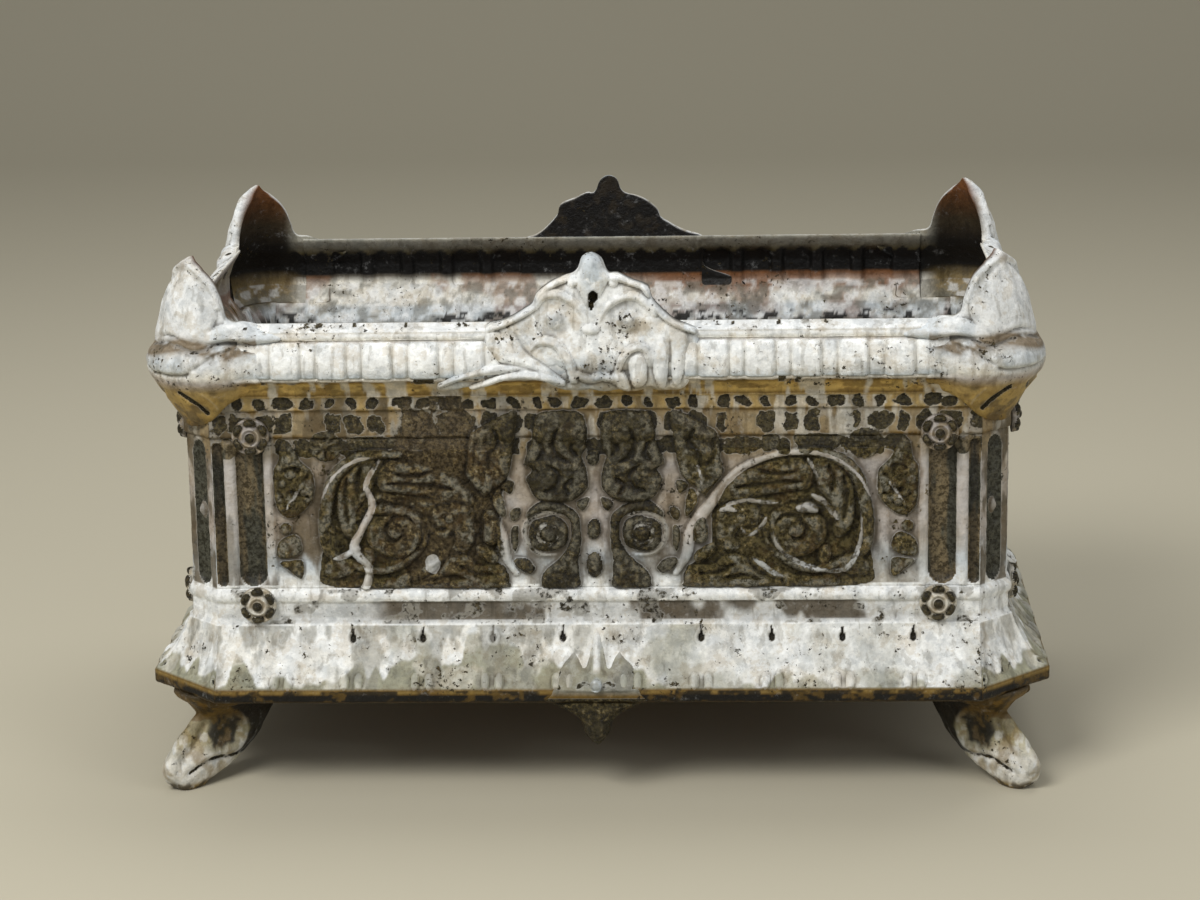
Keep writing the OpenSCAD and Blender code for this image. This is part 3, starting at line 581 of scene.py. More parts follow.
def skin(paint, bare, cavity, metal=OLIVE, speck=1.0):
    """The point attributes that old_paint reads; metal is the colour under the paint."""
    paint = np.asarray(paint, float).reshape(-1, 3)
    n = len(paint)
    metal = np.broadcast_to(np.asarray(metal, float).reshape(-1, 3), (n, 3))
    speck = np.broadcast_to(np.ravel(speck), n)
    return {"paint": paint, "bare": np.ravel(bare), "cavity": np.ravel(cavity),
            "metal": np.column_stack([metal, speck])}


# Meshes

def build(name, verts, quads, rings=(), attrs=None, material=None):
    """A mesh object from vertices in mm, quads, extra polygons and point attributes."""
    mesh = bpy.data.meshes.new(name)
    quads = np.asarray(quads, np.int32).reshape(-1, 4)
    rings = [np.asarray(r, np.int32) for r in rings]
    loops = np.concatenate([quads.ravel()] + rings)
    sizes = np.array([4] * len(quads) + [len(r) for r in rings], np.int32)
    mesh.vertices.add(len(verts))
    mesh.vertices.foreach_set("co", (np.asarray(verts, float) * MM).ravel())
    mesh.loops.add(len(loops))
    mesh.loops.foreach_set("vertex_index", loops)
    mesh.polygons.add(len(sizes))
    mesh.polygons.foreach_set("loop_start", (np.cumsum(sizes) - sizes).astype(np.int32))
    mesh.update(calc_edges=True)
    mesh.validate()
    put_attributes(mesh, attrs or {})
    mesh.polygons.foreach_set("use_smooth", [True] * len(mesh.polygons))
    mesh.update()
    return show(name, mesh, material)


def show(name, data, material=None):
    """An object for a mesh, lamp or camera, in the scene."""
    obj = bpy.data.objects.new(name, data)
    bpy.context.scene.collection.objects.link(obj)
    if material:
        data.materials.append(material)
    return obj


def belongs(obj, node):
    """The piece moves with the trough and is seen in place of a node of the assembly."""
    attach(obj, "root")
    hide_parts(node)
    return obj


def put_attributes(mesh, attrs):
    """Colours (three columns, or four with a strength) or numbers for each vertex."""
    for key, data in attrs.items():
        data = np.asarray(data, float)
        if data.ndim == 1:
            mesh.attributes.new(key, "FLOAT", "POINT").data.foreach_set("value", data)
            continue
        if data.shape[1] == 3:
            data = np.column_stack([data, np.ones(len(data))])
        mesh.attributes.new(key, "FLOAT_COLOR", "POINT").data.foreach_set("color", data.ravel())


def cavity_of(h):
    """How deep each point lies under its surroundings, in mm, near and wide."""
    return np.clip(blur(h, 2) - h, -1, 2) + 0.5 * np.clip(blur(h, 7) - h, -2, 3)


# Places map x along a wall, the distance out and the height to the trough's frame.
def wall_place(tx, ty, reach):
    """Place for a wall that runs along (tx, ty) at reach from the middle of the trough."""
    def place(x, out, z):
        return np.stack([tx * x + ty * (reach + out), ty * x - tx * (reach + out), z], -1)
    return place


PLACES = {"front": wall_place(1, 0, BODY_D / 2), "back": wall_place(-1, 0, BODY_D / 2),
          "right": wall_place(0, 1, BODY_W / 2), "left": wall_place(0, -1, BODY_W / 2)}


# Walls

# Profiles of the wall sheet as (distance out, height), as in the construction
STEP = 1.5
COVE_IN = -0.5
PROFILE = np.vstack([
    [(32.5, Z_LIP), (LIP_OUT, Z_LIP + STEP)], bow((LIP_OUT, Z_FLARE), (5, Z_SILL), -4, 16),
    [(3.5, Z_SILL + STEP), (1.8, 131.5), (1.8, 143)], bow((3.5, Z_RIDGE), (0, Z_FIELD), 2.4),
    [(0, Z_FRIEZE - 1), (-0.8, Z_FRIEZE), (2, Z_FRIEZE + STEP), (2, Z_DART), (4, Z_DART + STEP),
     (4, Z_COVE - STEP)],
    bow((5.5, Z_COVE), (COVE_OUT, Z_GADROON), -2), [(16.6, 318.6)],
    bow((15, 320), (13, 344.5), 3), [(11, 346), (11, 347.4), (12, 348)],
    bow((12, 348), (12, 352.6), 0.8, 4), [(10.5, Z_RIM), (10.2, 354), (2, Z_TOP)]])
INNER = np.vstack([
    [(0, Z_TOP - STEP), (6, 347.5), (10, 336.7), (10, 319.5), (COVE_IN, Z_COVE),
     (-WALL_T, Z_DART - STEP)],
    bow((-WALL_T, 130), (28, 82.5), 4), [(28, Z_LIP)]])


def cut_profile(points, low, high):
    """The part of a polyline between two heights, with the cuts added."""
    pts = points if points[0][1] < points[-1][1] else points[::-1]
    z = np.maximum.accumulate(pts[:, 1] + np.arange(len(pts)) * 1e-6)
    keep = pts[(z > low) & (z < high)]
    ends = [(np.interp(h, z, pts[:, 0]), h) for h in (low, high)]
    return np.vstack([ends[:1], keep, ends[1:]])


def reach_at(profile, z, low, high):
    """How far out a profile lies at a height, read between two heights of it."""
    line = cut_profile(profile, low, high)
    return np.interp(z, line[:, 1], line[:, 0])


def section(low, high, outer_step, inner_step):
    """The closed section of a sheet: its points, their outward ways, how many are outside."""
    outer = resample(cut_profile(PROFILE, low, high), outer_step)
    inner = resample(cut_profile(INNER, low, high)[::-1], inner_step)
    push = np.vstack([normals(outer), np.zeros(inner.shape)])
    return np.vstack([outer, inner]), push, len(outer)


def sheet(name, verts, attrs, flip=False):
    """A mesh from a grid whose columns are closed sections, with a cap at both ends."""
    rows, cols = verts.shape[:2]
    i, j = np.arange(rows)[:, None], np.arange(cols - 1)[None]
    k = (i + 1) % rows
    quads = np.stack([i * cols + j, i * cols + j + 1, k * cols + j + 1, k * cols + j], -1)
    quads = quads.reshape(-1, 4)
    caps = [np.arange(rows) * cols, np.arange(rows)[::-1] * cols + cols - 1]
    if flip:
        quads, caps = quads[:, ::-1], [c[::-1] for c in caps]
    return build(name, verts.reshape(-1, 3), quads, caps, attrs)


def soft_bump(u, v):
    """A cushion with broad soft sides, for u and v from -1 to 1."""
    return smooth(1.04, 0.66, np.abs(u)) * smooth(1.04, 0.74, np.abs(v))


def rim_chips(x, z):
    """Black chips along the gadroons' lower ends and the rim's upper edge."""
    low = spots(x, z, 6, 1, 0.54, 0.6) * smooth(322, 318, z) * smooth(313, 316, z)
    low = low * smooth(0.35, 0.55, noise(x, z, 31, 2))
    top = spots(x, z, 5, 2, 0.6, 0.66) * smooth(355, 358, z)
    return np.maximum(low * 0.8, top * smooth(0.4, 0.6, noise(x, z, 40, 1)) * 0.8)


def lozenges(x, z, middle, tall, seed, most=8.0, share=0.9):
    """A row of blunt worn spots of uneven width, from 0 to 1."""
    x = x + (noise(x, z, 9, 2) - 0.5) * 5
    z = z + (noise(x, z, 7, 1) - 0.5) * 3
    pitch = LOBE_PITCH / 2
    cell = np.floor(x / pitch)
    half = 2.2 + (most - 2.2) * noise(cell * 7.3, cell * 0, 1.0, seed)
    shift = (noise(cell * 3.7, cell * 0, 1.0, seed + 2) - 0.5) * 6
    here = noise(cell * 5.1, cell * 0 + 3, 1.0, seed + 1) < share
    q = np.abs(((x / pitch - cell - 0.5) * pitch - shift) / half) ** 2.6
    q = q + np.abs((z - middle) / tall) ** 3
    return smooth(1.4, 0.6, q + (fractal(x, z, 5, 0) - 0.5) * 2.4) * here


def eyelet_relief(x, z, eyelets):
    """Worn keyholes over pairs of pods: their heights, and how open each hole is."""
    h, holes = np.zeros_like(x), np.zeros_like(x)
    worn = smooth(0.32, 0.5, noise(x, x * 0, 23, 1))
    for c in eyelets:
        dx, dz = np.abs(x) - c, z - 117.5
        q = np.hypot(dx / 2.6, dz / 3.2)
        slit = (np.abs(dx) < 1.5 * np.clip(1 - (z - 118) / 10, 0, 1)) & (z > 118) & (z < 128)
        hole = np.maximum(smooth(1.15, 0.75, q), slit * 0.8) * worn
        h += 0.8 * bell((q - 1.6) / 0.5) * (z < 124) - 2.6 * hole
        holes = np.maximum(holes, hole)
        for side in (-5.2, 5.2):
            h += 2.4 * dome(np.hypot((dx - side) / 3.3, (z - 89) / 5.6))
    return h, holes


def moulding_relief(x, z, lobes, eyelets, leafy=False):
    """Lobes, bars, darts and leaves on the mouldings, as heights and bareness."""
    ax = np.abs(x)
    rim = z > Z_COVE
    half_pitch = (lobes[1] - lobes[0]) / 2
    h, holes = eyelet_relief(x, z, eyelets)
    for c in lobes:
        h += np.where(rim, 3.8 * soft_bump((ax - c) / 12.5, (z - 332) / 15), 0)
    for c in [lobes[0] - half_pitch] + [c + half_pitch for c in lobes]:
        h += np.where(rim, 2.4 * soft_bump((ax - c) / 5.4, (z - 332) / 14.5), 0)
    recess = lozenges(x, z, 298, 4.4, 1)
    h -= 1.1 * recess
    frieze = np.maximum(lozenges(x, z, 283, 7.5, 2, 12.0, 0.6),
                        lozenges(x + 5, z, 264, 6.5, 0, 16.0, 0.65))
    smear = spots(x, z * 0.35, 30, 2, 0.5, 0.6) * smooth(256, 264, z) * (z < 303)
    ridge = spots(x, z, 16, 1, 0.56, 0.64) * (z > Z_SILL) * smooth(156, 153, z)
    bare = np.maximum.reduce([rim_chips(x, z) * rim, recess * 0.85, frieze * 0.85,
                              smear * 0.42 * 0.85, ridge * 0.4, holes * 0.8])
    if leafy:
        flare = smooth(84, 90, z) * smooth(127, 120, z)
        lean = np.abs(np.sin((ax + (z - 105) * 0.9 * np.sign(np.sin(ax / 17))) / 4.4))
        h += flare * (1.9 * lean + 1.2 * np.sin(ax / 17) ** 2 - 1.2)
        bare = np.maximum(bare, flare * smooth(0.25, 0.08, lean) * 0.6)
    return h, bare


def arch_line(x):
    """Height of the lower border of the white paint on the flare, which ran down in drips."""
    drips = noise(x, x * 0, 6.3, 2) * 0.6 + noise(x, x * 0, 13, 1) * 0.4
    line = 86 + 26 * noise(x, x * 0, 61, 1) * smooth(0.2, 0.75, drips)
    return line + 17 * np.exp(-((x + 85) / 42) ** 2) - 10 * smooth(20, 70, x)


def inner_paint(x, z, half):
    """Colours inside the trough: black painted shade under the rim of the long walls and high in the
    corners, and the ends painted paler as faces in the light.
    """
    n1, n2 = fractal(x, z, 34, 1), fractal(x, z * 1.4, 9, 2)
    # On the long walls the black from 327 to 343 is painted shade under the rim's overhang.
    side = bands(z, INNER_BANDS + [
        (304, CREAM), (320, CREAM * 0.9), (325, BROWN * 0.6), (327, SHADE_AND_SOOT * 0.3),
        (343, SHADE_AND_SOOT * 0.3), (346, OLIVE * 1.3), (354, GREY * 0.8), (358, GREY * 1.2)])
    end = bands(z, INNER_BANDS + [
        (312, BEIGE * 0.8), (322, LILAC * 0.8), (345, BEIGE * 0.8), (354, LILAC), (358, CREAM)])
    # High in the corners the black from 330 to 352 is painted shade.
    nook = bands(z, INNER_BANDS + [
        (304, BEIGE * 0.8), (316, TAN * 0.7), (330, SHADE_AND_SOOT * 1.4), (352, SHADE_AND_SOOT * 1.5),
        (372, BROWN * 0.6), (400, RUST * 0.6)])
    wave = 343 + 5 * np.sin(np.abs(x) * 2 * math.pi / LOBE_PITCH) ** 2
    # Painted shadow of the gadroons' hollow backs: black, with a scalloped lower edge.
    side = blend(side, SHADE_AND_SOOT * 0.3, smooth(1, -1, z - wave) * (z > 327))
    # The ends get the paler bands, painted as faces in the light.
    if half > 200:
        side = blend(side, RUST * 0.9,
                     smooth(30, -40, x) * smooth(308, 316, z) * (z < 326) * 0.7)
        along, across = 1.0, 0.0
    elif half > 100:
        along, across = 0.0, 1.0
    else:
        along, across = smooth(34, 50, x), smooth(-34, -50, x)
    cracks = spots(x, z * 1.3, 7, 0, 0.55, 0.6) * smooth(262, 284, z) * (z < 297)
    return coats(
        nook, (side, along + x * 0), (end, across + x * 0),
        (RUST * 0.8, smooth(0.54, 0.64, n1) * (z < 326) * 0.6),
        (WHITE * 0.95, smooth(0.5, 0.62, n2) * (z < 318) * 0.6),
        (GREY * 0.7, smooth(0.47, 0.38, n2) * (z < 318) * 0.6),
        (SHADE_AND_SOOT, cracks * smooth(0.4, 0.5, n1) * 0.95))


def gadroon_paint(ground, x, z, lobes):
    """White faces on the gadroons, blue-grey painted shade at their lower ends, and beige painted shade
    in the gaps between them.
    """
    row = smooth(320, 324, z) * (z < 346)
    # Toward the lower ends the faces turn blue-grey: painted shade.
    face = blend(WHITE * 1.04, BLUISH, smooth(330, 322, z) * 0.5)
    for c in lobes:
        away = np.abs(np.abs(x) - c)
        # The beige in the gaps between the lobes is painted shade.
        ground = coats(ground, (face, smooth(1.0, 0.8, away / 11) * row * 0.9),
                       (BEIGE * 1.05, bell((away - 11.6) / 1.6) * row * (z < 345) * 0.3))
    return ground


def flare_paint(ground, x, z, n1, n2, n3):
    """White paint that ran down over the sage flare, and the black lip under it."""
    flare = (z > 85) & (z < Z_SILL)
    lip = (z < Z_FLARE) & (z > 75)
    white = smooth(-2.0, 1.0, z - arch_line(x)) * flare
    shadow = spots(x, z * 0.5, 12, 3, 0.5, 0.6) * smooth(120, -60, x)
    return coats(
        ground, (WHITE, white * 0.9), (SAGE, flare * (1 - white) * 0.85),
        (CREAM * 0.9, smooth(0.5, 0.62, n3) * flare * 0.5),
        (SAGE * 0.9, smooth(0.5, 0.64, n1) * flare * 0.65),
        (WHITE * 0.97, smooth(60, 110, x) * smooth(92, 98, z) * flare * 0.55),
        (GREY * 0.9, shadow * flare * 0.6),
        (SHADE_AND_SOOT * 1.4, smooth(0.44, 0.56, n3) * lip * 0.9),
        (OCHRE, smooth(0.58, 0.68, n2) * lip * 0.5))


def wall_paint(x, z, outer, half, lobes=()):
    """Paint colours of a wall sheet whose ends are at half, outside or inside."""
    n1, n2, n3 = fractal(x, z, 40, 1), fractal(x, z * 1.4, 9, 2), fractal(x, z, 13, 0)
    ax = np.abs(x)
    ground = gadroon_paint(bands(z, WALL_BANDS), x, z, lobes)
    ground = flare_paint(ground, x, z, n1, n2, n3)
    channel = (z > 129.5) & (z < 144.5) & (ax < half - 62)
    patches = spots(x, z * 0.6, 34, 1, 0.48, 0.56)
    blotch = smooth(1.3, 0.8, np.abs(x - BLOTCH[0]) / BLOTCH[2]) * (half > 200)
    body = (z > 157) & (z < 303)
    streaks = spots(x, z * 0.25, 11, 2, 0.5, 0.66) * body
    runs = spots(x, z * 0.2, 8, 1, 0.58, 0.68) * body * smooth(200, 290, z)
    ground = coats(
        ground, (BROWN, np.maximum(patches, blotch) * channel * 0.9),
        (WHITE * 0.95, smooth(half - 62, half - 50, ax) * (z > 128) * (z < Z_FIELD) * 0.8),
        (OCHRE * 0.8, spots(x * 0.3, z, 4, 1, 0.5, 0.6) * (z > 305) * (z < 318) * 0.6),
        (CREAM * 0.8, spots(x, z * 0.3, 9, 2, 0.52, 0.6) * (z > 296) * (z < 318) * 0.65),
        (UMBER, smooth(0.46, 0.66, n1) * body * 0.45),
        (BROWN * 1.4, streaks * (0.5 + 0.35 * smooth(0, -120, x))),
        (CREAM * 0.8, runs * (0.2 + 0.35 * smooth(-120, 0, x))))
    colour = np.where(outer[..., None], ground, inner_paint(x, z, half))
    return colour * (0.82 + 0.36 * n2)[..., None]


def wall_metal(x, z, half):
    """Colour and specks of the bare iron: brown-grey in the flutes, brown in the worn blotch."""
    ax = np.abs(x)
    flutes = (z > Z_FIELD) & (z < Z_FRIEZE) & (half - ax < 47)
    plain = (z < 262) & (half > 200) & ~flutes
    streak = spots(x * 1.4, z * 0.22, 9, 1, 0.44, 0.6)
    metal = np.where(flutes[..., None], blend(SLATE, UMBER * 0.75, streak * 0.9), OLIVE)
    scroll = smooth(60, 75, ax) * plain * (z > Z_FIELD)
    q = np.full(x.shape, 9.0)
    if half > 200:
        cx, cz, rx, rz = BLOTCH
        q = np.hypot((x - cx) / rx, (z - Z_FIELD - cz - 14) / (rz - 16))
    q = q + (fractal(x, z * 0.4, 13, 1) - 0.5) * 0.8
    metal = coats(metal, (OLIVE * 2.3, scroll), (OLIVE * 0.7, smooth(62, 54, ax) * plain),
                  (BROWN * 1.5, smooth(1.1, 0.7, q) * 0.9))
    return metal, np.where(flutes, 0.2, 0.5 + 1.2 * scroll)


def wall_sheet(name, place, half, low, high, relief, lobes, eyelets, seam):
    """One closed length of wall between two heights. The wall's seam may lie beyond its end."""
    line, push, n = section(low, high, 1.0, 2.5)
    xs = np.linspace(-half, half, int(2 * half / 1.1) + 1)
    x, z = np.meshgrid(xs, line[:, 1])
    out = np.repeat(line[:, :1], len(xs), 1)
    outer = np.broadcast_to(np.arange(len(line))[:, None] < n, x.shape)
    h, bare, cavity = (np.zeros_like(x) for _ in range(3))
    h[:n], bare[:n] = moulding_relief(x[:n], z[:n], lobes, eyelets, leafy=seam < 200)
    if relief:
        r = relief(x[:n], z[:n])
        h[:n] += r.h
        bare[:n] = np.maximum(bare[:n], r.bare)
    rough = (fractal(x, z, 7, 4) - 0.5) * 0.9
    h[:n] += rough[:n] * smooth(0, 4, np.minimum(z[:n] - low, high - z[:n]) + 2)
    cavity[:n] = cavity_of(h[:n]) * np.where(z[:n] > Z_COVE, 0.25, 1)
    if high > Z_COVE:
        scallop = sum(soft_bump((np.abs(x[n:]) - c) / 14, (z[n:] - 331) / 17) for c in lobes)
        out[n:] += 5.5 * scallop * (z[n:] < 348)
    verts = place(x, np.minimum(out + push[:, :1] * h, LIP_OUT), z + push[:, 1:] * h)
    metal, speck = wall_metal(x, z, seam)
    # Pale grey on the crests of the relief: partly worn paint, partly a painted highlight.
    crest = smooth(0.05, 0.8, h - blur(h, 5)) * spots(x, z, 9, 3, 0.42, 0.54)
    metal = blend(metal, GREY * 1.2, crest * outer * np.clip(speck, 0.1, 1.5) / 1.6)
    paint = wall_paint(x, z, outer, seam, lobes if high > Z_COVE else ())
    paint = blend(paint, BEIGE * 0.4, smooth(0.28, 0.45, bare) * outer * 0.8)
    return sheet(name, verts, skin(paint, bare, cavity, metal, speck))


def wall(side, half, relief, lobes, eyelets, rim_half):
    """The three lengths of a wall: base, panel and rim."""
    pieces = []
    for level, reach, low, high, carving, holes in (
            ("base", half, Z_LIP, Z_FIELD + 0.5, None, eyelets),
            ("panel", half, Z_FIELD + 0.5, Z_COVE, relief, ()),
            ("rim", rim_half, Z_COVE, Z_TOP, None, ())):
        name = "_".join([side, "wall", level])
        piece = wall_sheet(name, PLACES[side], reach, low, high, carving, lobes, holes, half)
        pieces.append(belongs(piece, side + "_wall"))
    return pieces


# Plates: a shape with an outline, relief on its face and a back

def plate(name, points, face, back, place, paint, step=1.0):
    """A closed plate in an outline. Face and back give how far out its two sides lie."""
    pts = spline(points, 3, closed=True)
    lo, hi = pts.min(0) - step, pts.max(0) + step
    x, z = np.meshgrid(np.arange(lo[0], hi[0] + step, step), np.arange(lo[1], hi[1] + step, step))
    d, nx, nz = outline_distance(pts, x, z)
    inside = (d > 0).astype(int)
    keep = inside[:-1, :-1] + inside[1:, :-1] + inside[:-1, 1:] + inside[1:, 1:] >= 2
    count = np.zeros(x.shape, int)
    for di in (0, 1):
        for dj in (0, 1):
            count[di:di + keep.shape[0], dj:dj + keep.shape[1]] += keep
    used = count > 0
    rim = used & (count < 4)
    x, z, d = np.where(rim, nx, x), np.where(rim, nz, z), np.where(rim, 0, d)
    out, bare, paint_height = face(x, z, np.maximum(d, 0))
    inner = np.minimum(back(x, z), out - 0.4)
    cavity = cavity_of(np.where(used, paint_height, 0)) * smooth(0, 4, d) * 0.4
    n = used.sum()
    index = np.full(x.shape, -1)
    index[used] = np.arange(n)
    i, j = np.nonzero(keep)
    q = np.stack([index[i, j], index[i, j + 1], index[i + 1, j + 1], index[i + 1, j]], -1)
    key = set(map(tuple, np.concatenate([q[:, [k, (k + 1) % 4]] for k in range(4)])))
    a, b = np.array([e for e in key if (e[1], e[0]) not in key]).T
    quads = [q, q[:, ::-1] + n, np.stack([b, a, a + n, b + n], -1)]
    x, z = x[used], z[used]
    verts = np.vstack([place(x, out[used], z), place(x, inner[used], z)])
    colours = paint(np.tile(x, 2), np.tile(z, 2), np.arange(2 * n) < n)
    return build(name, verts, np.vstack(quads), (),
                 skin(colours, np.append(bare[used], np.zeros(n)),
                      np.append(cavity[used], np.zeros(n))))


def behind(z):
    """How far out the trough's inner face lies at a height."""
    return reach_at(INNER, z, 290, 357)


# Corners. Along the rim, s runs from the corner's diagonal to both sides.

# Way along the rim from the diagonal to the end of the corner's bend
ARC = 25.9


def corner_place(sx, sy):
    """Place for s, out, z at the corner on the side of sx and sy."""
    def place(s, out, z):
        a = np.clip(s / ARC, -1, 1) * math.pi / 4 + math.pi / 4
        r = CORNER_CUT + out
        past = np.maximum(np.abs(s) - ARC, 0)
        u = r * np.cos(a) - np.where(s > 0, past, 0)
        v = r * np.sin(a) - np.where(s < 0, past, 0)
        return np.stack([sx * (SEAM_X + u), sy * (SEAM_Y + v), z], -1)
    return place


# The hood's profile on the diagonal, and the outline of the ear's right half
HOOD_Z = [280, 284, 288, 293, 299, 305, 311, 316, 321, 327, 333, 340, 347, 353, 361, 370, 378, 385,
          392, 398, 408]

HOOD_OUT = [0.5, 1.5, 4, 7.5, 11.5, 15.5, 19, 21.5, 23, 23.8, 23, 20, 15.5, 13, 11, 8.5, 5.5, 2.5,
            -0.5, -2.5, -3.5]

EAR = [
    (0, 408), (4, 406.5), (10, 404), (18, 401.5), (24, 399), (29, 395), (34, 389.5), (38, 382),
    (41, 373), (43, 365), (48, 361.5), (56, 361.5), (66, 359), (76, 356.5), (84, 354), (88, 350),
    (85, 344), (78, 340), (73, 337), (72, 330), (72, 312), (71, 305), (52, 304), (42, 299),
    (34, 291), (26, 284), (14, 281), (0, 280)]

# Cushions on the right half: height, border and outline
CUSHIONS = [
    (3.0, 12, [(22, 314), (30, 311), (43, 312), (48, 320), (48, 334), (43, 341), (30, 340),
               (20, 330), (18, 321)]),
    (3.2, 11, [(48, 316), (54, 312), (66, 312), (72, 319), (72, 336), (68, 341), (54, 341),
               (47, 334)]),
    (3.2, 7, [(-2, 327), (10, 325), (19, 327), (28, 333), (38, 339), (48, 344), (40, 348),
              (20, 349), (-2, 349)]),
]

EAR_LEAF = [(0, 406), (10, 402), (18, 399.5), (24, 397), (29, 392), (34, 384), (37, 374),
            (36, 362), (31, 351), (26, 346.5), (20, 345), (13, 348), (6, 351), (0, 352)]

# Folds and grooves on the right half: half width, height, bareness and path
EAR_FOLDS = [
    (5.0, 1.6, None, [(20, 350), (23, 362), (23, 376), (20, 389)]),
    (6.0, -1.3, None, [(9, 352), (9, 368), (8, 384), (4, 397)]),
    (4.0, -1.4, None, [(33, 356), (31, 366), (31, 376)]),
    (1.8, -1.6, 0.3, [(4, 399), (13, 396), (20, 392.5), (27, 386), (32, 377)]),
    (2.0, -3.6, 0.35, [(-1, 346), (10, 344.5), (20, 341.5), (27, 342.5), (38, 346.5), (50, 347),
                       (58, 343), (66, 342), (71, 345)]),
    (1.4, -1.4, None, [(19, 328), (28, 334), (40, 341), (50, 343)]),
    (1.5, -1.6, None, [(0, 324), (12, 323.5), (20, 326)]),
    (2.6, -3.2, 0.9, [(7, 311), (14, 305), (21, 298), (28, 290)]),
    (2.0, 1.8, None, [(24, 311), (32, 302), (36, 294)]),
]


def ear_relief(x, z):
    """The corner leaf, its drape, the arms along the rim and the cushions."""
    r = Relief(x, z)
    for _ in r.both():
        for height, edge, points in CUSHIONS:
            r.pillow(points, height, edge, bare=0)
        r.tube([(28, 351), (36, 353), (46, 355), (56, 354), (64, 351), (74, 350.5), (84, 350)],
               [4, 6, 7, 7, 6, 4.5, 3.4], 6.5, bare=0)
    r.pillow(EAR_LEAF + [(-a, b) for a, b in EAR_LEAF[-2:0:-1]], 4.2, 5, bare=0)
    for _ in r.both():
        r.tube([(1, 404.5), (10, 402), (18, 399), (24, 396.5), (30, 391), (35, 383), (38, 373)],
               [2.2, 2.8, 3.4, 4.2, 3.8, 3, 2], 6.6, bare=0)
        for radius, height, bare, path in EAR_FOLDS:
            r.ridge(path, radius, height, bare)
    r.h += (fractal(x, z, 24, 2, 2) - 0.5) * 2.2
    return r


def ear_face(x, z, d):
    """How far out the ear's face lies, its bareness and its relief alone."""
    r = ear_relief(x, z)
    ax = np.abs(x)
    hood = np.interp(z, HOOD_Z, HOOD_OUT)
    along = np.where(z > Z_RIM, 9 - 3 * np.clip((z - Z_RIM) / 12, 0, 1),
                     reach_at(PROFILE, np.minimum(z, Z_RIM), 296, Z_TOP) - 0.5)
    base = along + (hood - along) * smooth(62, 34, ax)
    edge = np.where((z < 306) & (ax < 50), 0, rounded(d, 3.5) * 3 - 3)
    sink = smooth(7, 0, d) * smooth(54, 62, ax) * 3.2
    rough = (fractal(x, z, 9, 5) - 0.5) * 1.1
    bare = np.maximum(r.bare, rim_chips(x, z) * (ax > 30))
    return base + r.h + edge * 0.7 - sink + rough, bare, r.h + rough


def ear_back(x, z):
    """How far out the ear's hollow back lies."""
    ax = np.abs(x)
    hood = np.interp(z, HOOD_Z, HOOD_OUT) - WALL_T
    along = behind(z) + 1.5 * smooth(46, 54, ax)
    return along + (hood - along) * smooth(58, 24, ax)


def ear_paint(x, z, outer):
    """Colours of a corner ear: gold at the neck, white above, dark inside, and gold-brown painted shade
    under the leaf's lower edge and the arms.
    """
    n1, n2 = fractal(x, z, 30, 1), fractal(x, z, 7, 2)
    ax = np.abs(x)
    shell = bands(z, [
        (280, OCHRE), (290, GOLD), (304, GOLD * 1.1), (311, TAN), (318, LILAC),
        (323, CREAM * 0.85), (330, WHITE * 0.88), (350, WHITE * 0.85), (404, WHITE * 0.9)])
    # Painted shade: a gold-brown band under the leaf's lower edge and the arms.
    under = bell((z - 343 - 3 * np.sin(x / 9)) / 5) * (ax < 66)
    shell = coats(
        shell, (bands(z, RIM_BANDS), smooth(44, 62, ax) * smooth(340, 328, z)),
        (BLUISH, smooth(0.46, 0.66, n1) * smooth(318, 330, z) * 0.6),
        (OCHRE * 0.9, np.clip(under * 1.3, 0, 0.85) * smooth(0.3, 0.5, n2 + 0.1)),
        (OCHRE, bell(np.hypot(x / 7, (z - 402) / 5)) * 0.6),
        (BROWN, spots(x, z, 8, 0, 0.45, 0.6) * smooth(320, 306, z) * 0.6))
    colour = np.where(outer[..., None], shell, inner_paint(x, z, 0))
    return colour * (0.85 + 0.3 * n2)[..., None]


def post_relief(u, z, half, outer):
    """The post's flute with its bead, the drape of the foot and two rings at the lip."""
    across = u * half
    groove, inside = flute(across, -8, 8, z, 3.6)
    low = smooth(126, 104, z) * smooth(84, 90, z)
    ring = np.hypot((np.abs(u) - 0.93) * half, z - 89)
    h = np.where(inside, groove, 0.0)
    h += bell(np.hypot(across / 2.6, (z - 214) / 6)) * 5.2
    h += low * (0.9 * np.cos(u * 5.5) + 0.35 * np.cos(u * 21 + z * 0.13) - 0.9)
    h += 1.6 * bell((ring - 3.0) / 1.1) - 1.2 * bell(ring / 1.6)
    h += (fractal(across, z, 7, 4) - 0.5) * 1.2
    bare = np.where(inside, 0.85, 0.0)
    bare = np.where(np.hypot(across / 4, (z - 214) / 7) < 1, 0.1, bare)
    bare = np.maximum(bare, 0.8 * smooth(1.8, 1.0, ring))
    return h * outer, bare * outer


def post_plan(u, out, raised, z):
    """Where the post lies in plan: flat across the corner below, round under the rim."""
    mix = smooth(Z_DART, Z_COVE, z)
    a = (u + 1) * math.pi / 4
    plan = []
    for turn, share in ((np.cos(a), (1 - u) / 2), (np.sin(a), (1 + u) / 2)):
        flat = (CORNER_CUT + out) * share + (raised - out) * 0.7071
        bent = (CORNER_CUT + raised) * turn
        plan.append(np.minimum(flat + (bent - flat) * mix, CORNER_CUT + LIP_OUT))
    return plan


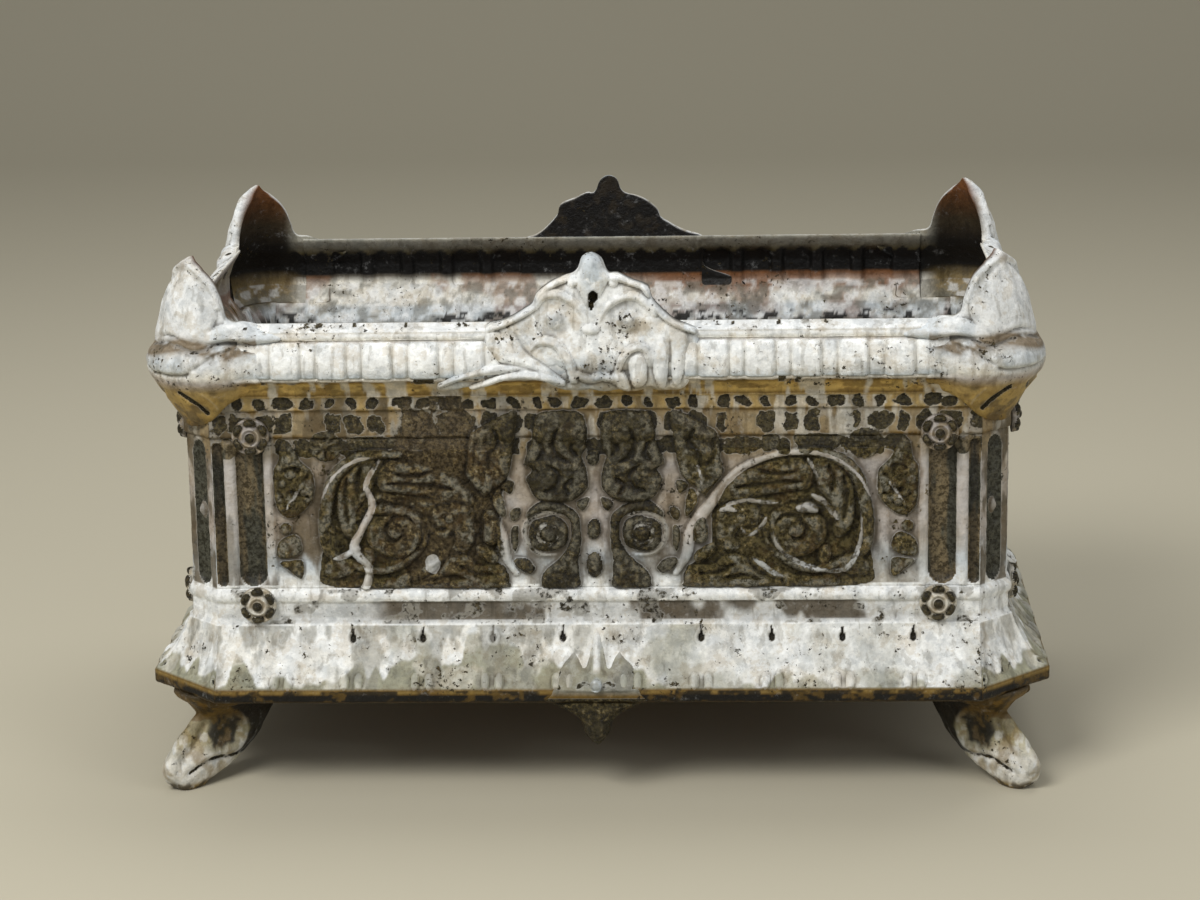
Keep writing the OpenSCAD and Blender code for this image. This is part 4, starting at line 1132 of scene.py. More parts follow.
def post_sheet(name, sx, sy):
    """The corner post under the rim, with its draped foot: a closed sheet on the diagonal."""
    line, push, n = section(Z_LIP, Z_COVE + 0.5, 1.2, 6.0)
    us = np.linspace(-1, 1, 61)
    u, z = np.meshgrid(us, line[:, 1])
    out = np.repeat(line[:, :1], len(us), 1)
    outer = np.broadcast_to(np.arange(len(line))[:, None] < n, z.shape)
    half = (CORNER_CUT + out) / math.sqrt(2)
    h, bare = post_relief(u, z, half, outer)
    raised = np.minimum(out + push[:, :1] * h, LIP_OUT)
    px, py = post_plan(u, out, raised, z)
    verts = np.stack([sx * (SEAM_X + px), sy * (SEAM_Y + py), z + push[:, 1:] * h], -1)
    stained = spots(u * half, z * 0.3, 9, 1, 0.44, 0.58) * (z > Z_FIELD) * (z < Z_DART)
    paint = blend(wall_paint(u * half, z, outer, 0), UMBER * 0.4, stained * outer * 0.85)
    colours = skin(paint, bare, cavity_of(h) * outer * 0.7, SLATE, np.where(z > Z_FIELD, 0.1, 1))
    return sheet(name, verts, colours, flip=sx * sy > 0)


def corner(name, sx, sy):
    """The ear and the post of a corner casting."""
    outline = EAR + [(-x, z) for x, z in EAR[:0:-1]]
    ear = plate(name + "_ear", outline, ear_face, ear_back, corner_place(sx, sy), ear_paint, 1.1)
    if sx * sy < 0:
        ear.data.flip_normals()
    return [belongs(piece, name) for piece in (ear, post_sheet(name + "_post", sx, sy))]


# Crests

# The outline, and the shield raised within it
CREST = [
    (-77, 358), (-67, 361), (-57, 365), (-49, 370), (-43, 374), (-40, 381), (-36, 385), (-29, 390),
    (-20, 394), (-13, 396), (-9, 400), (-6, 408), (1, 411), (8, 407), (11, 400), (14, 396),
    (20, 396), (30, 391), (42, 386), (45, 377), (55, 366), (63, 360), (72, 357), (78, 354),
    (79, 344), (76, 328), (72, 316), (66, 309), (57, 308), (47, 308), (42, 311), (36, 308),
    (28, 307), (21, 309), (9, 307), (-1, 309), (-10, 308), (-22, 309), (-33, 315), (-48, 319),
    (-64, 318), (-77, 313), (-87, 309), (-92, 312), (-104, 309), (-114, 309), (-113, 317),
    (-98, 323), (-84, 328), (-78, 334), (-79, 346)]

SHIELD = [
    (-70, 357), (-56, 362), (-43, 371), (-38, 381), (-28, 387), (-15, 391), (-8, 399), (1, 408),
    (9, 399), (16, 392), (30, 388), (41, 382), (45, 373), (54, 363), (68, 355), (72, 340),
    (60, 330), (30, 326), (0, 322), (-30, 328), (-60, 334), (-72, 345)]

# Rounded bands: height, half widths and path
CREST_BANDS = [
    (6.4, [2.6, 3.6, 4, 4, 3.6, 2.6],
     [(-40, 372), (-36, 379), (-27, 382), (-17, 379), (-8, 371), (-3, 362)]),
    (6.4, [2.6, 3.6, 4, 4, 3.6, 2.6],
     [(6, 362), (12, 372), (21, 378), (31, 380), (40, 375), (47, 366)]),
    (6, [2.5, 3.4, 3.4, 3], [(-19, 392), (-27, 389.5), (-34, 385), (-40, 378)]),
    (6.4, [3, 3.6, 3.6, 3], [(18, 394), (30, 390.5), (39, 387), (43, 381)]),
    (5.6, [3, 3, 3, 3, 2.6], [(-42, 372), (-50, 367), (-57, 363.5), (-67, 359), (-76, 356)]),
    (5.6, [3, 3, 3, 2.6], [(45, 375), (54, 365), (63, 359), (76, 354)]),
    (7.5, [2, 3.4, 4, 4, 4, 4, 3],
     [(-45, 340), (-41, 345.5), (-34, 348), (-25, 345), (-19, 337), (-15, 329), (-13, 318)]),
    (5.2, [2, 3, 2.4], [(-58, 357), (-49, 350), (-43, 342)]),
    (8, [1.8, 3, 3.6, 4, 3], [(-112, 314), (-98, 321), (-84, 325), (-69, 327), (-55, 328)]),
    (9, [2, 3, 3.6, 4, 4, 3],
     [(-89, 312), (-75, 317), (-64, 321), (-48, 323), (-33, 321), (-22, 316)]),
    (7.5, [2, 2.6, 3.2, 3.6, 3.6, 3.4, 2],
     [(17, 316), (19, 324), (22, 333), (27, 340), (34, 343), (40, 341), (42, 333)]),
    (6, [3, 4, 4, 3], [(-12, 324), (-2, 319), (8, 321), (17, 318)]),
]

# Raised leaves: height, border and outline
CREST_PADS = [
    (6.0, 10, [(-76, 355), (-65, 354), (-52, 345), (-41, 336), (-27, 325), (-20, 316), (-33, 319),
               (-51, 323), (-62, 327), (-73, 337), (-78, 347)]),
    (6.5, 7, [(27, 334), (34, 339), (40, 335), (41, 324), (39, 314), (31, 312), (28, 322)]),
    (5.6, 6, [(49, 352), (56, 347), (57, 330), (54, 312), (49, 312), (45, 330)]),
    (5.2, 6, [(60, 352), (70, 351), (70, 336), (66, 318), (61, 313), (58, 330)]),
    (6.2, 4, [(15, 323), (24, 324), (29, 309), (20, 310)]),
    (9.5, 11, [(1, 411), (-5, 408), (-9, 400), (-12, 395), (-12, 389), (-6, 378), (0, 369),
               (7, 378), (13, 389), (16, 395), (11, 400), (7, 408)]),
]

# Lines cut in: half width, height and path
CREST_LINES = [
    (4, -2.0, [(-38, 341), (-28, 333), (-21, 322)]),
    (1.6, -1.6, [(-57, 355), (-49, 342), (-38, 332), (-24, 322)]),
    (1.3, -1.4, [(-77, 330), (-60, 331), (-44, 327), (-28, 318)]),
    (1.3, -1.6, [(58, 348), (58, 330), (57, 314)]),
]


def crest_relief(x, z):
    """A soft shield: a bud between two dished volutes over crossing leaves."""
    r = Relief(x, z)
    r.pillow(SHIELD, 3.4, 12, bare=0)
    for height, radii, path in CREST_BANDS:
        r.tube(path, radii, height, bare=0)
    for height, edge, points in CREST_PADS:
        r.pillow(points, height, edge, bare=0)
    a = np.linspace(0, 6.28, 20)
    for ex, ez in ((-26, 363), (26, 362)):
        r.ridge(np.stack([ex + 11 * np.cos(a), ez + 11 * np.sin(a)], -1), 4.0, -1.8)
        m, mx, mz = r.near(np.array([[ex, ez]], float), 8)
        r.h[m] += 3.4 * np.exp(-(np.hypot(mx - ex, mz - ez) / 7.2 * 1.1) ** 4)
    for kx in (-13, 17):
        r.bead((kx, 391), 4, 4.8, 4.5, bare=0)
    r.bead((0, 356), 7.2, 4.4, 4.5, bare=0.1)
    r.bead((2, 380), 3.4, 4.8, -3.4, bare=1)
    r.bead((0.5, 374), 1.8, 4.4, -2.0, bare=0.9)
    for radius, depth, path in CREST_LINES:
        r.ridge(path, radius, depth)
    return r


def crest_face(x, z, d):
    """How far out the crest's face lies, its bareness and its relief alone."""
    r = crest_relief(x, z)
    base = np.interp(z, [305, 312, 320, 335, 350, 410], [9, 14.5, 17, 17, 13.5, 8.5])
    edge = rounded(d, 3) * 4 - 4
    rough = (fractal(x, z, 9, 5) - 0.5) * 1.0
    return base + r.h * 0.95 + edge + rough, r.bare, r.h * 1.3 + rough


def crest_back(x, z):
    """The crest's back stands on the trough's inner face."""
    return behind(z) + 1.5


def crest_paint(x, z, outer):
    """Colours of a crest: worn white outside, soot inside."""
    n1, n2 = fractal(x, z, 30, 1), fractal(x, z, 7, 2)
    shell = bands(z, [(306, TAN), (312, CREAM * 0.9), (322, WHITE), (340, WHITE),
                      (380, WHITE), (404, WHITE), (411, BLUISH)])
    worn = bell(np.hypot((x - 2) / 12, (z - 322) / 10))
    worn = worn + 0.5 * bell(np.hypot((np.abs(x) - 26) / 7, (z - 362) / 6))
    bud = bell(np.hypot((x - 1) / 8, (z - 398) / 14))
    shell = coats(
        shell, (BLUISH * 0.5, np.clip(worn * 1.6, 0, 0.9) * smooth(0.38, 0.5, n2)),
        (BLUISH * 0.9, np.clip(bud * 1.3, 0, 0.9) * smooth(0.4, 0.55, n2)),
        (BLUISH, smooth(0.52, 0.7, n1) * 0.5), (TAN, spots(x, z, 12, 0, 0.54, 0.7) * 0.35))
    inner = blend(SHADE_AND_SOOT, BROWN * 0.5, smooth(0.5, 0.7, n2) * 0.4)
    return np.where(outer[..., None], shell, inner) * (0.88 + 0.24 * n2)[..., None]


def crest(side):
    """The crest over the middle of a long wall."""
    piece = plate(side + "_crest_front", CREST, crest_face, crest_back, PLACES[side], crest_paint)
    return belongs(piece, side + "_crest")


# Pendants

PENDANT = [
    (-40, 75), (-34, 82), (-32, 92), (-28, 99), (-22, 104), (-17, 109), (-12, 103), (-9, 98),
    (-7, 106), (-4, 116), (0, 126), (4, 116), (7, 106), (9, 98), (12, 103), (17, 109), (22, 104),
    (28, 99), (32, 92), (34, 82), (40, 75), (31, 70.5), (22, 66), (15, 61.5), (11.5, 57),
    (10, 51), (7, 45), (0, 39), (-7, 45), (-10, 51), (-11.5, 57), (-15, 61.5), (-22, 66),
    (-31, 70.5)]


def flare_out(z):
    """How far out the flare lies at a height, or just over the lip's edge if lower."""
    return reach_at(PROFILE, np.maximum(z, Z_LIP + 1), Z_LIP, Z_SILL)


def pendant_relief(x, z):
    """A low crowned plate over the lip with a stud, and the smooth drop below it."""
    r = Relief(x, z)
    r.pillow([(-30, 84), (-29, 94), (-22, 101), (-17, 105), (-11, 97), (-5, 96), (0, 121), (5, 96),
              (11, 97), (17, 105), (22, 101), (29, 94), (30, 84)], 1.6, 3, bare=0.1)
    r.ridge([(0, 96), (0, 106), (0, 120)], 2.4, 1.6)
    for _ in r.both():
        r.ridge([(4, 86), (9, 88), (15, 86)], 2.0, -1.2, bare=0.5)
        r.ridge([(27, 96), (30, 90), (27, 84)], 1.5, -1.4, bare=0.8)
    r.bead((0, 87), 3.6, 4.4, 4.5, bare=0.1)
    r.pillow([(-26, 73), (26, 73), (14, 65), (9, 56), (7, 48), (0, 42), (-7, 48), (-9, 56),
              (-14, 65)], 6.5, 12, bare=1)
    r.ridge([(0, 76), (-1, 68), (-4, 62)], 2.2, 1.4)
    return r


def pendant_face(x, z, d):
    """How far out the pendant's face lies, its bareness and its relief alone."""
    r = pendant_relief(x, z)
    base = np.where(z > Z_LIP, flare_out(z) + 0.6, 31)
    edge = rounded(d, 3) * 3 - 3
    rough = (fractal(x, z, 6, 5) - 0.5) * 0.8
    return base + r.h + edge + rough, np.maximum(r.bare, (z < 78) * 0.9), r.h + rough


def pendant_back(x, z):
    """The pendant's back stands on the flare, and hangs free below the lip."""
    return np.where(z > Z_LIP, flare_out(z) - 1.5, 26)


def pendant_paint(x, z, outer):
    """Colours of a pendant, alike on both sides: grey over the lip, soot on the drop."""
    shell = bands(z, [(39, SHADE_AND_SOOT), (76, OLIVE), (79, OCHRE), (83, GREY * 0.9), (94, GREY * 0.95),
                      (103, GREY * 1.1), (112, WHITE * 0.9)])
    shell = coats(
        shell, (BLUISH * 1.2, smooth(1.1, 0.7, np.hypot(x / 4, (z - 87) / 5))),
        (SAGE, spots(x, z, 14, 1, 0.5, 0.66) * (z > 84) * 0.5),
        (WHITE, smooth(3.4, 1.6, np.abs(x)) * smooth(93, 98, z) * 0.8))
    return shell * (0.8 + 0.35 * fractal(x, z, 7, 2))[..., None]


def pendant(side):
    """The pendant under the lip of a long wall."""
    piece = plate(side + "_pendant_leaf", PENDANT, pendant_face, pendant_back, PLACES[side],
                  pendant_paint)
    return belongs(piece, side + "_pendant")


# Rosettes

def rosette(name, place, x0, z0):
    """A disc with a ring of six oval petals round a bud."""
    r, a = np.meshgrid(np.linspace(0.0, 14.0, 33), np.linspace(0, 2 * math.pi, 121)[:-1])
    r, a = r.T, a.T
    turn = a - math.pi / 2
    turn = turn - np.round(turn / (math.pi / 3)) * math.pi / 3
    q = ((np.abs(r - 11.2) / 2.5) ** 2.4 + (np.abs(r * turn) / 4.7) ** 2.4) ** (1 / 2.4)
    h = 3.4 + 1.4 * smooth(9, 5.5, r) - 2.0 * smooth(13.0, 14.0, r)
    h += np.where(q < 1, 2.6 * dome(q), -0.9 * bell((q - 1.15) / 0.2))
    h += 0.8 * bell((r - 6.6) / 0.8) - 0.9 * bell((r - 4.6) / 0.7)
    h += 3.0 * dome(r / 3.8)
    bare = np.where(r < 3.6, 0.95, np.where(q < 1.02, 1.0, 0.0))
    cavity = cavity_of(h) * 0.6
    x, z = x0 + r * np.cos(a), z0 + r * np.sin(a)
    h = h + (fractal(x, z, 4, 3) - 0.5) * 0.6
    rows, m = r.shape
    top = place(x, ROSETTE_OUT + h, z).reshape(-1, 3)
    base = place(x[-1], np.full(m, ROSETTE_OUT - 0.5), z[-1])
    j = np.arange(m)
    k = (j + 1) % m
    quads = [np.stack([i * m + j, (i + 1) * m + j, (i + 1) * m + k, i * m + k], -1)
             for i in range(rows)]
    tone = LILAC * 0.8 if z0 > 200 else CREAM * 0.85
    paint = blend(tone, TAN * 0.7, spots(x, z, 5, 1, 0.4, 0.65) * 0.6).reshape(-1, 3)
    rest = np.zeros(m)
    return build(name, np.vstack([top, base]), np.vstack(quads), [rows * m + j[::-1]], skin(
        np.vstack([paint, np.broadcast_to(tone, (m, 3))]), np.append(bare, rest),
        np.append(cavity, rest), OLIVE * 0.8, 0.4))


def rosettes(side, at):
    """Four rosettes at the corners of a panel, at a distance from its middle."""
    made = []
    for z0, level in ((143, "low"), (274, "high")):
        for x0, hand in ((-at, "left"), (at, "right")):
            piece = rosette("_".join([side, "rosette", level, hand]), PLACES[side], x0, z0)
            made.append(belongs(piece, side + "_rosettes"))
    return made


# Feet

def ring_solid(rows):
    """Vertices and faces of a tube of rings, closed at both ends."""
    m, n = len(rows), len(rows[0])
    verts = np.concatenate(rows)
    j = np.arange(n)
    jn = (j + 1) % n
    quads = np.concatenate([np.stack([i * n + j, i * n + jn, (i + 1) * n + jn, (i + 1) * n + j],
                                     -1) for i in range(m - 1)])
    return verts, quads, [j[::-1], (m - 1) * n + j]


def loft(sections, count=28):
    """Closed surface through level sections (d, w, z, half depth, half width, squareness)."""
    a = np.linspace(0, 2 * math.pi, count, endpoint=False)
    ca, sa = np.cos(a), np.sin(a)
    rows = []
    for d, w, z, hd, hw, sq in spline(sections, 5):
        p = 2 / max(sq, 1.2)
        rows.append(np.stack([d + hd * np.sign(ca) * np.abs(ca) ** p,
                              w + hw * np.sign(sa) * np.abs(sa) ** p, np.full(count, z)], -1))
    return ring_solid(rows)


def tube3(points, radii, count=14):
    """A bent round bar through points in space."""
    p = spline(points, 5)
    r = np.interp(np.linspace(0, 1, len(p)), np.linspace(0, 1, len(radii)), radii)
    t = np.gradient(p, axis=0)
    t /= np.linalg.norm(t, axis=1)[:, None] + 1e-9
    up = np.array([0.13, 0.97, 0.21])
    a = np.linspace(0, 2 * math.pi, count, endpoint=False)[:, None]
    rows = []
    for q, d, rad in zip(p, t, r):
        side = np.cross(d, up)
        side /= np.linalg.norm(side) + 1e-9
        up = np.cross(side, d)
        rows.append(q + rad * (np.cos(a) * side + np.sin(a) * up))
    return ring_solid(rows)


def fuse(name, solids, voxel, smoothing=3):
    """One skin round several closed solids. Returns a bare mesh in mm."""
    verts, quads, rings, base = [], [], [], 0
    for v, q, r in solids:
        verts.append(v)
        quads.append(q + base)
        rings += [k + base for k in r]
        base += len(v)
    obj = build(name, np.vstack(verts), np.vstack(quads), rings)
    mod = obj.modifiers.new("fuse", "REMESH")
    mod.mode = "VOXEL"
    mod.voxel_size = voxel * MM
    mod = obj.modifiers.new("soft", "SMOOTH")
    mod.iterations = smoothing
    mod.factor = 0.5
    dg = bpy.context.evaluated_depsgraph_get()
    mesh = bpy.data.meshes.new_from_object(obj.evaluated_get(dg))
    bpy.data.objects.remove(obj)
    mesh.name = name
    return mesh


def read(items, key, width, kind=float):
    """Values of a mesh's vertices or edges, one row for each."""
    values = np.empty(len(items) * width, kind)
    items.foreach_get(key, values)
    return values.reshape(-1, width)


def mesh_cavity(co, no, edges, rounds=12):
    """Depth of each vertex under its neighbours, averaged over a few rounds."""
    flat = co.copy()
    deg = np.bincount(edges.ravel(), minlength=len(co))[:, None] + 1e-9
    for _ in range(rounds):
        acc = np.zeros_like(co)
        np.add.at(acc, edges[:, 0], flat[edges[:, 1]])
        np.add.at(acc, edges[:, 1], flat[edges[:, 0]])
        flat = acc / deg
    return ((flat - co) * no).sum(1)


# On the leg's sides: distance along the diagonal and height. First the scroll's socket, then
# lines with half width, height, bareness and path, and the border of the black painted shade on the
# back.
FOOT_SOCKET = (12, 39)

FOOT_LINES = [
    (2.2, -2.2, 0.5, [(-20, 36), (-17, 28), (-8, 22.5), (1, 19), (10, 19), (20, 21), (32, 20),
                      (43, 15), (49, 12)]),
    (3.6, 1.4, None, [(2, 24), (14, 24), (28, 24), (40, 19)]),
]

FOOT_SHADE_Z = [0, 14, 19, 22, 28, 36, 46, 52, 58, 66, 74]
FOOT_SHADE_D = [-60, -40, 6, 0, -5, -8, -8, 0, 8, 12, 12]


def foot_solids():
    """A cabriole leg with round toes, and a flat wing to each side along the lip."""
    parts = [loft([
        (-1, 0, 74, 43, 24, 3), (-1, 0, 69, 42, 23, 3), (-5, 0, 62, 37, 20, 3),
        (-7, 0, 55, 34, 17, 3), (-6, 0, 47, 31, 15.5, 3), (1, 0, 38, 31, 15, 3),
        (9, 0, 29, 33, 14.5, 3), (20, 0, 20, 33, 14, 3), (30, 0, 11, 26.5, 13.5, 3),
        (39, 0, 4, 16, 12.5, 3), (39, 0, 0, 12, 11, 3)])]
    for side in (1, -1):
        parts.append(tube3([(-38, side * 24, 71), (-16, side * 28, 69), (8, side * 26, 68),
                            (32, side * 20, 69)], [3, 4, 5, 4.5]))
    parts.append(tube3([(22, 0, 56), (34, 0, 42), (46, 0, 29), (54, 0, 17), (53, 0, 7)],
                       [4, 6, 7, 8, 6]))
    return parts


def foot_sides(co, no):
    """Relief on both sides of the leg: the scroll's socket and the S-groove to the toe."""
    r = Relief(co[:, 0].copy(), co[:, 2].copy())
    facing = smooth(0.2, 0.7, np.abs(no[:, 1])) * smooth(5, 10, np.abs(co[:, 1]))
    for radius, height, bare, path in FOOT_LINES:
        r.ridge(path, radius, height, bare)
    far = np.hypot((r.x - FOOT_SOCKET[0]) / 14, (r.z - FOOT_SOCKET[1]) / 15)
    r.h += 1.8 * bell((far - 1.25) / 0.22) * smooth(6, -4, r.x) - 4.5 * bell(far / 0.75)
    return r.h * facing, np.clip(r.bare * facing, 0, 1)


def foot_paint(co, cavity):
    """Colours of a foot: pale legs, a dark socket, black painted shade on the back, and ochre grime and
    painted shade in the hollows.
    """
    d, w, z = co.T
    n1, n2, n3 = fractal(d + w, z, 22, 1), fractal(d - w, z, 6, 2), fractal(d, z + w, 9, 0)
    aw = np.abs(w)
    ground = bands(z, [
        (0, OCHRE), (3, TAN * 0.7), (7, CREAM * 0.8), (24, CREAM * 0.8), (38, STONE * 0.8),
        (47, UMBER * 0.8), (54, OCHRE * 0.8), (60, OCHRE), (68, OCHRE * 1.3), (74, BROWN * 0.6)])
    q = np.hypot((d - FOOT_SOCKET[0] - 2) / 15, (z - FOOT_SOCKET[1] - 2) / 14) + (n3 - 0.5) * 1.6
    dark = blend(SHADE_AND_SOOT * 1.6, OCHRE * 0.7, smooth(0.46, 0.66, n2))
    # The back, turned from the light, is painted black as shade.
    back = smooth(2, -2, d - np.interp(z, FOOT_SHADE_Z, FOOT_SHADE_D) - (n2 - 0.5) * 5)
    return coats(
        ground, (STONE * 0.62, smooth(0.44, 0.6, n1) * smooth(4, 12, z) * (z < 50) * 0.75),
        (WHITE * 0.85, smooth(0.54, 0.66, n2) * smooth(50, 34, z) * 0.55),
        (GOLD * 0.7, smooth(0.54, 0.66, n3) * 0.5),
        (SHADE_AND_SOOT * 2, smooth(0.5, 0.62, n3) * smooth(48, 54, z) * 0.7),
        (OCHRE * 0.6, smooth(56, 62, z) * smooth(15, 19, aw) * 0.9),
        (BROWN * 0.4, spots(d, w + z, 5, 2, 0.5, 0.56) * smooth(9, 3, z) * 0.8),
        (dark, smooth(1.0, 0.6, q) * smooth(6, 10, aw) * 0.92),
        # Black painted shade on the back, then ochre grime and painted shade in the hollows.
        (SHADE_AND_SOOT * 1.6, back * 0.93), (OCHRE * 0.6, smooth(0.2, 1.4, cavity) * 0.5))


def feet(material):
    """Four copies of one leg, turned to the corners."""
    mesh = fuse("foot", foot_solids(), 1.2)
    co, no = read(mesh.vertices, "co", 3) / MM, read(mesh.vertices, "normal", 3)
    side_h, side_bare = foot_sides(co, no)
    co = co + no * side_h[:, None]
    cavity = mesh_cavity(co, no, read(mesh.edges, "vertices", 2, np.int32))
    lumps = (fractal(co[:, 0] * 1.1 + co[:, 1], co[:, 2], 7, 2) - 0.5) * 1.4
    co = co + no * lumps[:, None]
    co[:, 2] = np.clip(co[:, 2], 0.0, Z_LIP)
    bare = np.maximum(smooth(1.0, 2.2, cavity) * 0.9, side_bare)
    shade = np.where(co[:, 2] > 54, np.maximum(cavity, 0), cavity * 0.6)
    put_attributes(mesh, skin(foot_paint(co, cavity), bare, shade))
    mesh.polygons.foreach_set("use_smooth", [True] * len(mesh.polygons))
    d, w, z = co.T
    k = math.sqrt(0.5)
    for corner_name, (sx, sy) in CORNERS.items():
        name = corner_name + "_foot"
        turned = np.stack([sx * (SEAM_X + (d - w) * k), sy * (SEAM_Y + (d + w) * k), z], -1)
        copy = mesh.copy()
        copy.vertices.foreach_set("co", (turned * MM).ravel())
        if sx * sy < 0:
            copy.flip_normals()
        belongs(show(name + "_leg", copy, material), name)


# Materials

class Nodes:
    """Short calls for a material's node tree."""

    def __init__(self, name):
        self.mat = bpy.data.materials.new(name)
        self.mat.use_nodes = True
        self.tree = self.mat.node_tree
        self.tree.nodes.clear()
        out = self.add("ShaderNodeOutputMaterial")
        self.bsdf = self.add("ShaderNodeBsdfPrincipled")
        self.feed(out.inputs[0], self.bsdf.outputs[0])
        self.where = self.add("ShaderNodeNewGeometry").outputs["Position"]

    def add(self, kind, **settings):
        node = self.tree.nodes.new(kind)
        for key, value in settings.items():
            setattr(node, key, value)
        return node

    def feed(self, socket, value):
        """Link an output to a socket, or set the socket to a number or colour."""
        if isinstance(value, bpy.types.NodeSocket):
            self.tree.links.new(value, socket)
        elif isinstance(value, (tuple, np.ndarray)):
            socket.default_value = tuple(value) + (1.0,) * (4 - len(value))
        else:
            socket.default_value = value

    def fill(self, node, **values):
        """Feed named sockets, whose spaces are written as underscores."""
        for key, value in values.items():
            self.feed(node.inputs[key.replace("_", " ")], value)

    def noise(self, size, detail=4.0, rough=0.55, stretch=(1, 1, 1), shift=0.0):
        """Noise whose lumps are about size in mm."""
        node = self.add("ShaderNodeTexNoise")
        moved = self.add("ShaderNodeMapping")
        moved.inputs["Location"].default_value = (shift, shift * 0.7, -shift)
        moved.inputs["Scale"].default_value = stretch
        self.fill(moved, Vector=self.where)
        self.fill(node, Vector=moved.outputs[0], Scale=1000.0 / size, Detail=detail,
                  Roughness=rough)
        return node.outputs["Fac"]

    def attribute(self, name, what="Fac"):
        return self.add("ShaderNodeAttribute", attribute_name=name).outputs[what]

    def math(self, op, *values):
        node = self.add("ShaderNodeMath", operation=op)
        for socket, value in zip(node.inputs, values):
            self.feed(socket, value)
        return node.outputs[0]

    def times(self, first, *others):
        """The product of several values."""
        for other in others:
            first = self.math("MULTIPLY", first, other)
        return first

    def step(self, value, low, high):
        """Smooth step of a value between low and high."""
        node = self.add("ShaderNodeMapRange", interpolation_type="SMOOTHSTEP")
        self.fill(node, Value=value, From_Min=low, From_Max=high)
        return node.outputs["Result"]

    def mix(self, factor, a, b, kind="MIX"):
        node = self.add("ShaderNodeMix", data_type="RGBA", blend_type=kind)
        for index, value in ((0, factor), (6, a), (7, b)):
            self.feed(node.inputs[index], value)
        return node.outputs[2]

    def tint(self, colour, other):
        """One colour seen through another."""
        return self.mix(1.0, colour, other, "MULTIPLY")

    def bump(self, height, strength, distance):
        """Bumps on the surface from a field of heights."""
        node = self.add("ShaderNodeBump")
        self.fill(node, Height=height, Strength=strength, Distance=distance)
        self.fill(self.bsdf, Normal=node.outputs[0])


def shared_fields(n):
    """The attributes of a piece, and the noises that its layers share."""
    return SimpleNamespace(
        paint=n.attribute("paint", "Color"), metal=n.attribute("metal", "Color"),
        specks=n.attribute("metal", "Alpha"), bare=n.attribute("bare"),
        cavity=n.attribute("cavity"), fine=n.noise(1.6, 3), mid=n.noise(5.5, 6, 0.65),
        wide=n.noise(38, 5), crust=n.noise(8.5, 9, 0.74, shift=0.31),
        grit=n.noise(3.4, 8, 0.76, shift=0.83), patch=n.noise(17, 7, 0.68, shift=0.57),
        runs=n.noise(7.5, 5, 0.6, stretch=(1, 1, 0.2), shift=0.12))


def paint_colour(n, f, hollow_grime_and_shade):
    """A fine mottle, blue-grey and tan stains, runs of grime, grime and painted shade in the hollows,
    and a painted highlight on raised edges.
    """
    colour = n.tint(f.paint, n.math("MULTIPLY_ADD", f.mid, 0.9, 0.58))
    stain = n.times(n.step(f.wide, 0.48, 0.64), n.step(f.crust, 0.42, 0.56), 0.32)
    colour = n.mix(n.times(n.step(f.patch, 0.51, 0.6), 0.32), colour, n.tint(f.paint, COLD))
    colour = n.mix(n.times(n.step(f.patch, 0.47, 0.4), 0.28), colour, n.tint(f.paint, WARM))
    colour = n.mix(stain, colour, n.tint(colour, TAN))
    colour = n.mix(n.times(n.step(f.runs, 0.54, 0.62), 0.32), colour, n.tint(colour, GRIME))
    colour = n.mix(hollow_grime_and_shade, colour, BROWN * 0.7)
    # Raised edges turn whiter: a painted highlight.
    return n.mix(n.times(n.step(f.cavity, -0.2, -0.8), 0.16), colour, WHITE)


def iron_colour(n, f, hollow_grime_and_shade):
    """Nearly black, broken up by brown, dull gold and pale grey grit."""
    iron = n.mix(n.step(f.grit, 0.42, 0.56), n.tint(f.metal, (0.24, 0.22, 0.16)), f.metal)
    field = n.step(n.math("SUBTRACT", f.patch, n.times(f.cavity, 0.05)), 0.44, 0.58)
    field = n.times(field, f.specks)
    rusty = n.times(n.step(f.wide, 0.5, 0.6), n.step(f.mid, 0.46, 0.6), f.specks)
    iron = n.mix(n.times(n.step(f.grit, 0.5, 0.6), field, 0.5), iron, OLD_GOLD)
    iron = n.mix(n.times(n.step(f.grit, 0.6, 0.66), field, 0.62), iron, FLAKES)
    iron = n.mix(n.times(rusty, 0.28), iron, OLD_RUST)
    # Grime and painted shade darken the iron's hollows to black.
    return n.mix(n.times(hollow_grime_and_shade, 0.9), iron, SHADE_AND_SOOT)


def old_paint(name):
    """Aged paint on cast iron. The pieces' attributes say where it is worn through."""
    n = Nodes(name)
    f = shared_fields(n)
    # Grime and painted shade: the deeper a hollow, the darker.
    hollow_grime_and_shade = n.times(n.step(f.cavity, 0.1, 1.3), 0.72)

    # The iron shows at the worn motifs, with a broken border, and at small chips.
    # Round the worn motifs the paint is whitened: a painted highlight.
    worn = n.math("ADD", f.bare, n.times(n.math("SUBTRACT", f.crust, 0.5), 1.6))
    chip = n.math("ADD", n.noise(4.4, 7, 0.7, shift=0.57), n.times(f.wide, 0.5))
    mask = n.math("MAXIMUM", n.step(worn, 0.42, 0.56), n.step(chip, 0.89, 0.91))
    paint = n.mix(n.times(n.step(worn, 0.1, 0.34), 0.15), paint_colour(n, f, hollow_grime_and_shade), WHITE)

    rough = n.math("SUBTRACT", n.math("MULTIPLY_ADD", f.crust, 0.5, 0.25), n.times(mask, 0.22))
    n.fill(n.bsdf, Base_Color=n.mix(mask, paint, iron_colour(n, f, hollow_grime_and_shade)), Roughness=rough,
           Specular_IOR_Level=0.3)
    height = n.math("ADD", n.times(f.mid, 0.9), n.times(f.fine, 0.35))
    height = n.math("ADD", height, n.times(f.grit, mask, f.specks, 2.6))
    n.bump(n.math("SUBTRACT", height, n.times(mask, 0.25)), 0.8, 0.0015)
    return n.mat


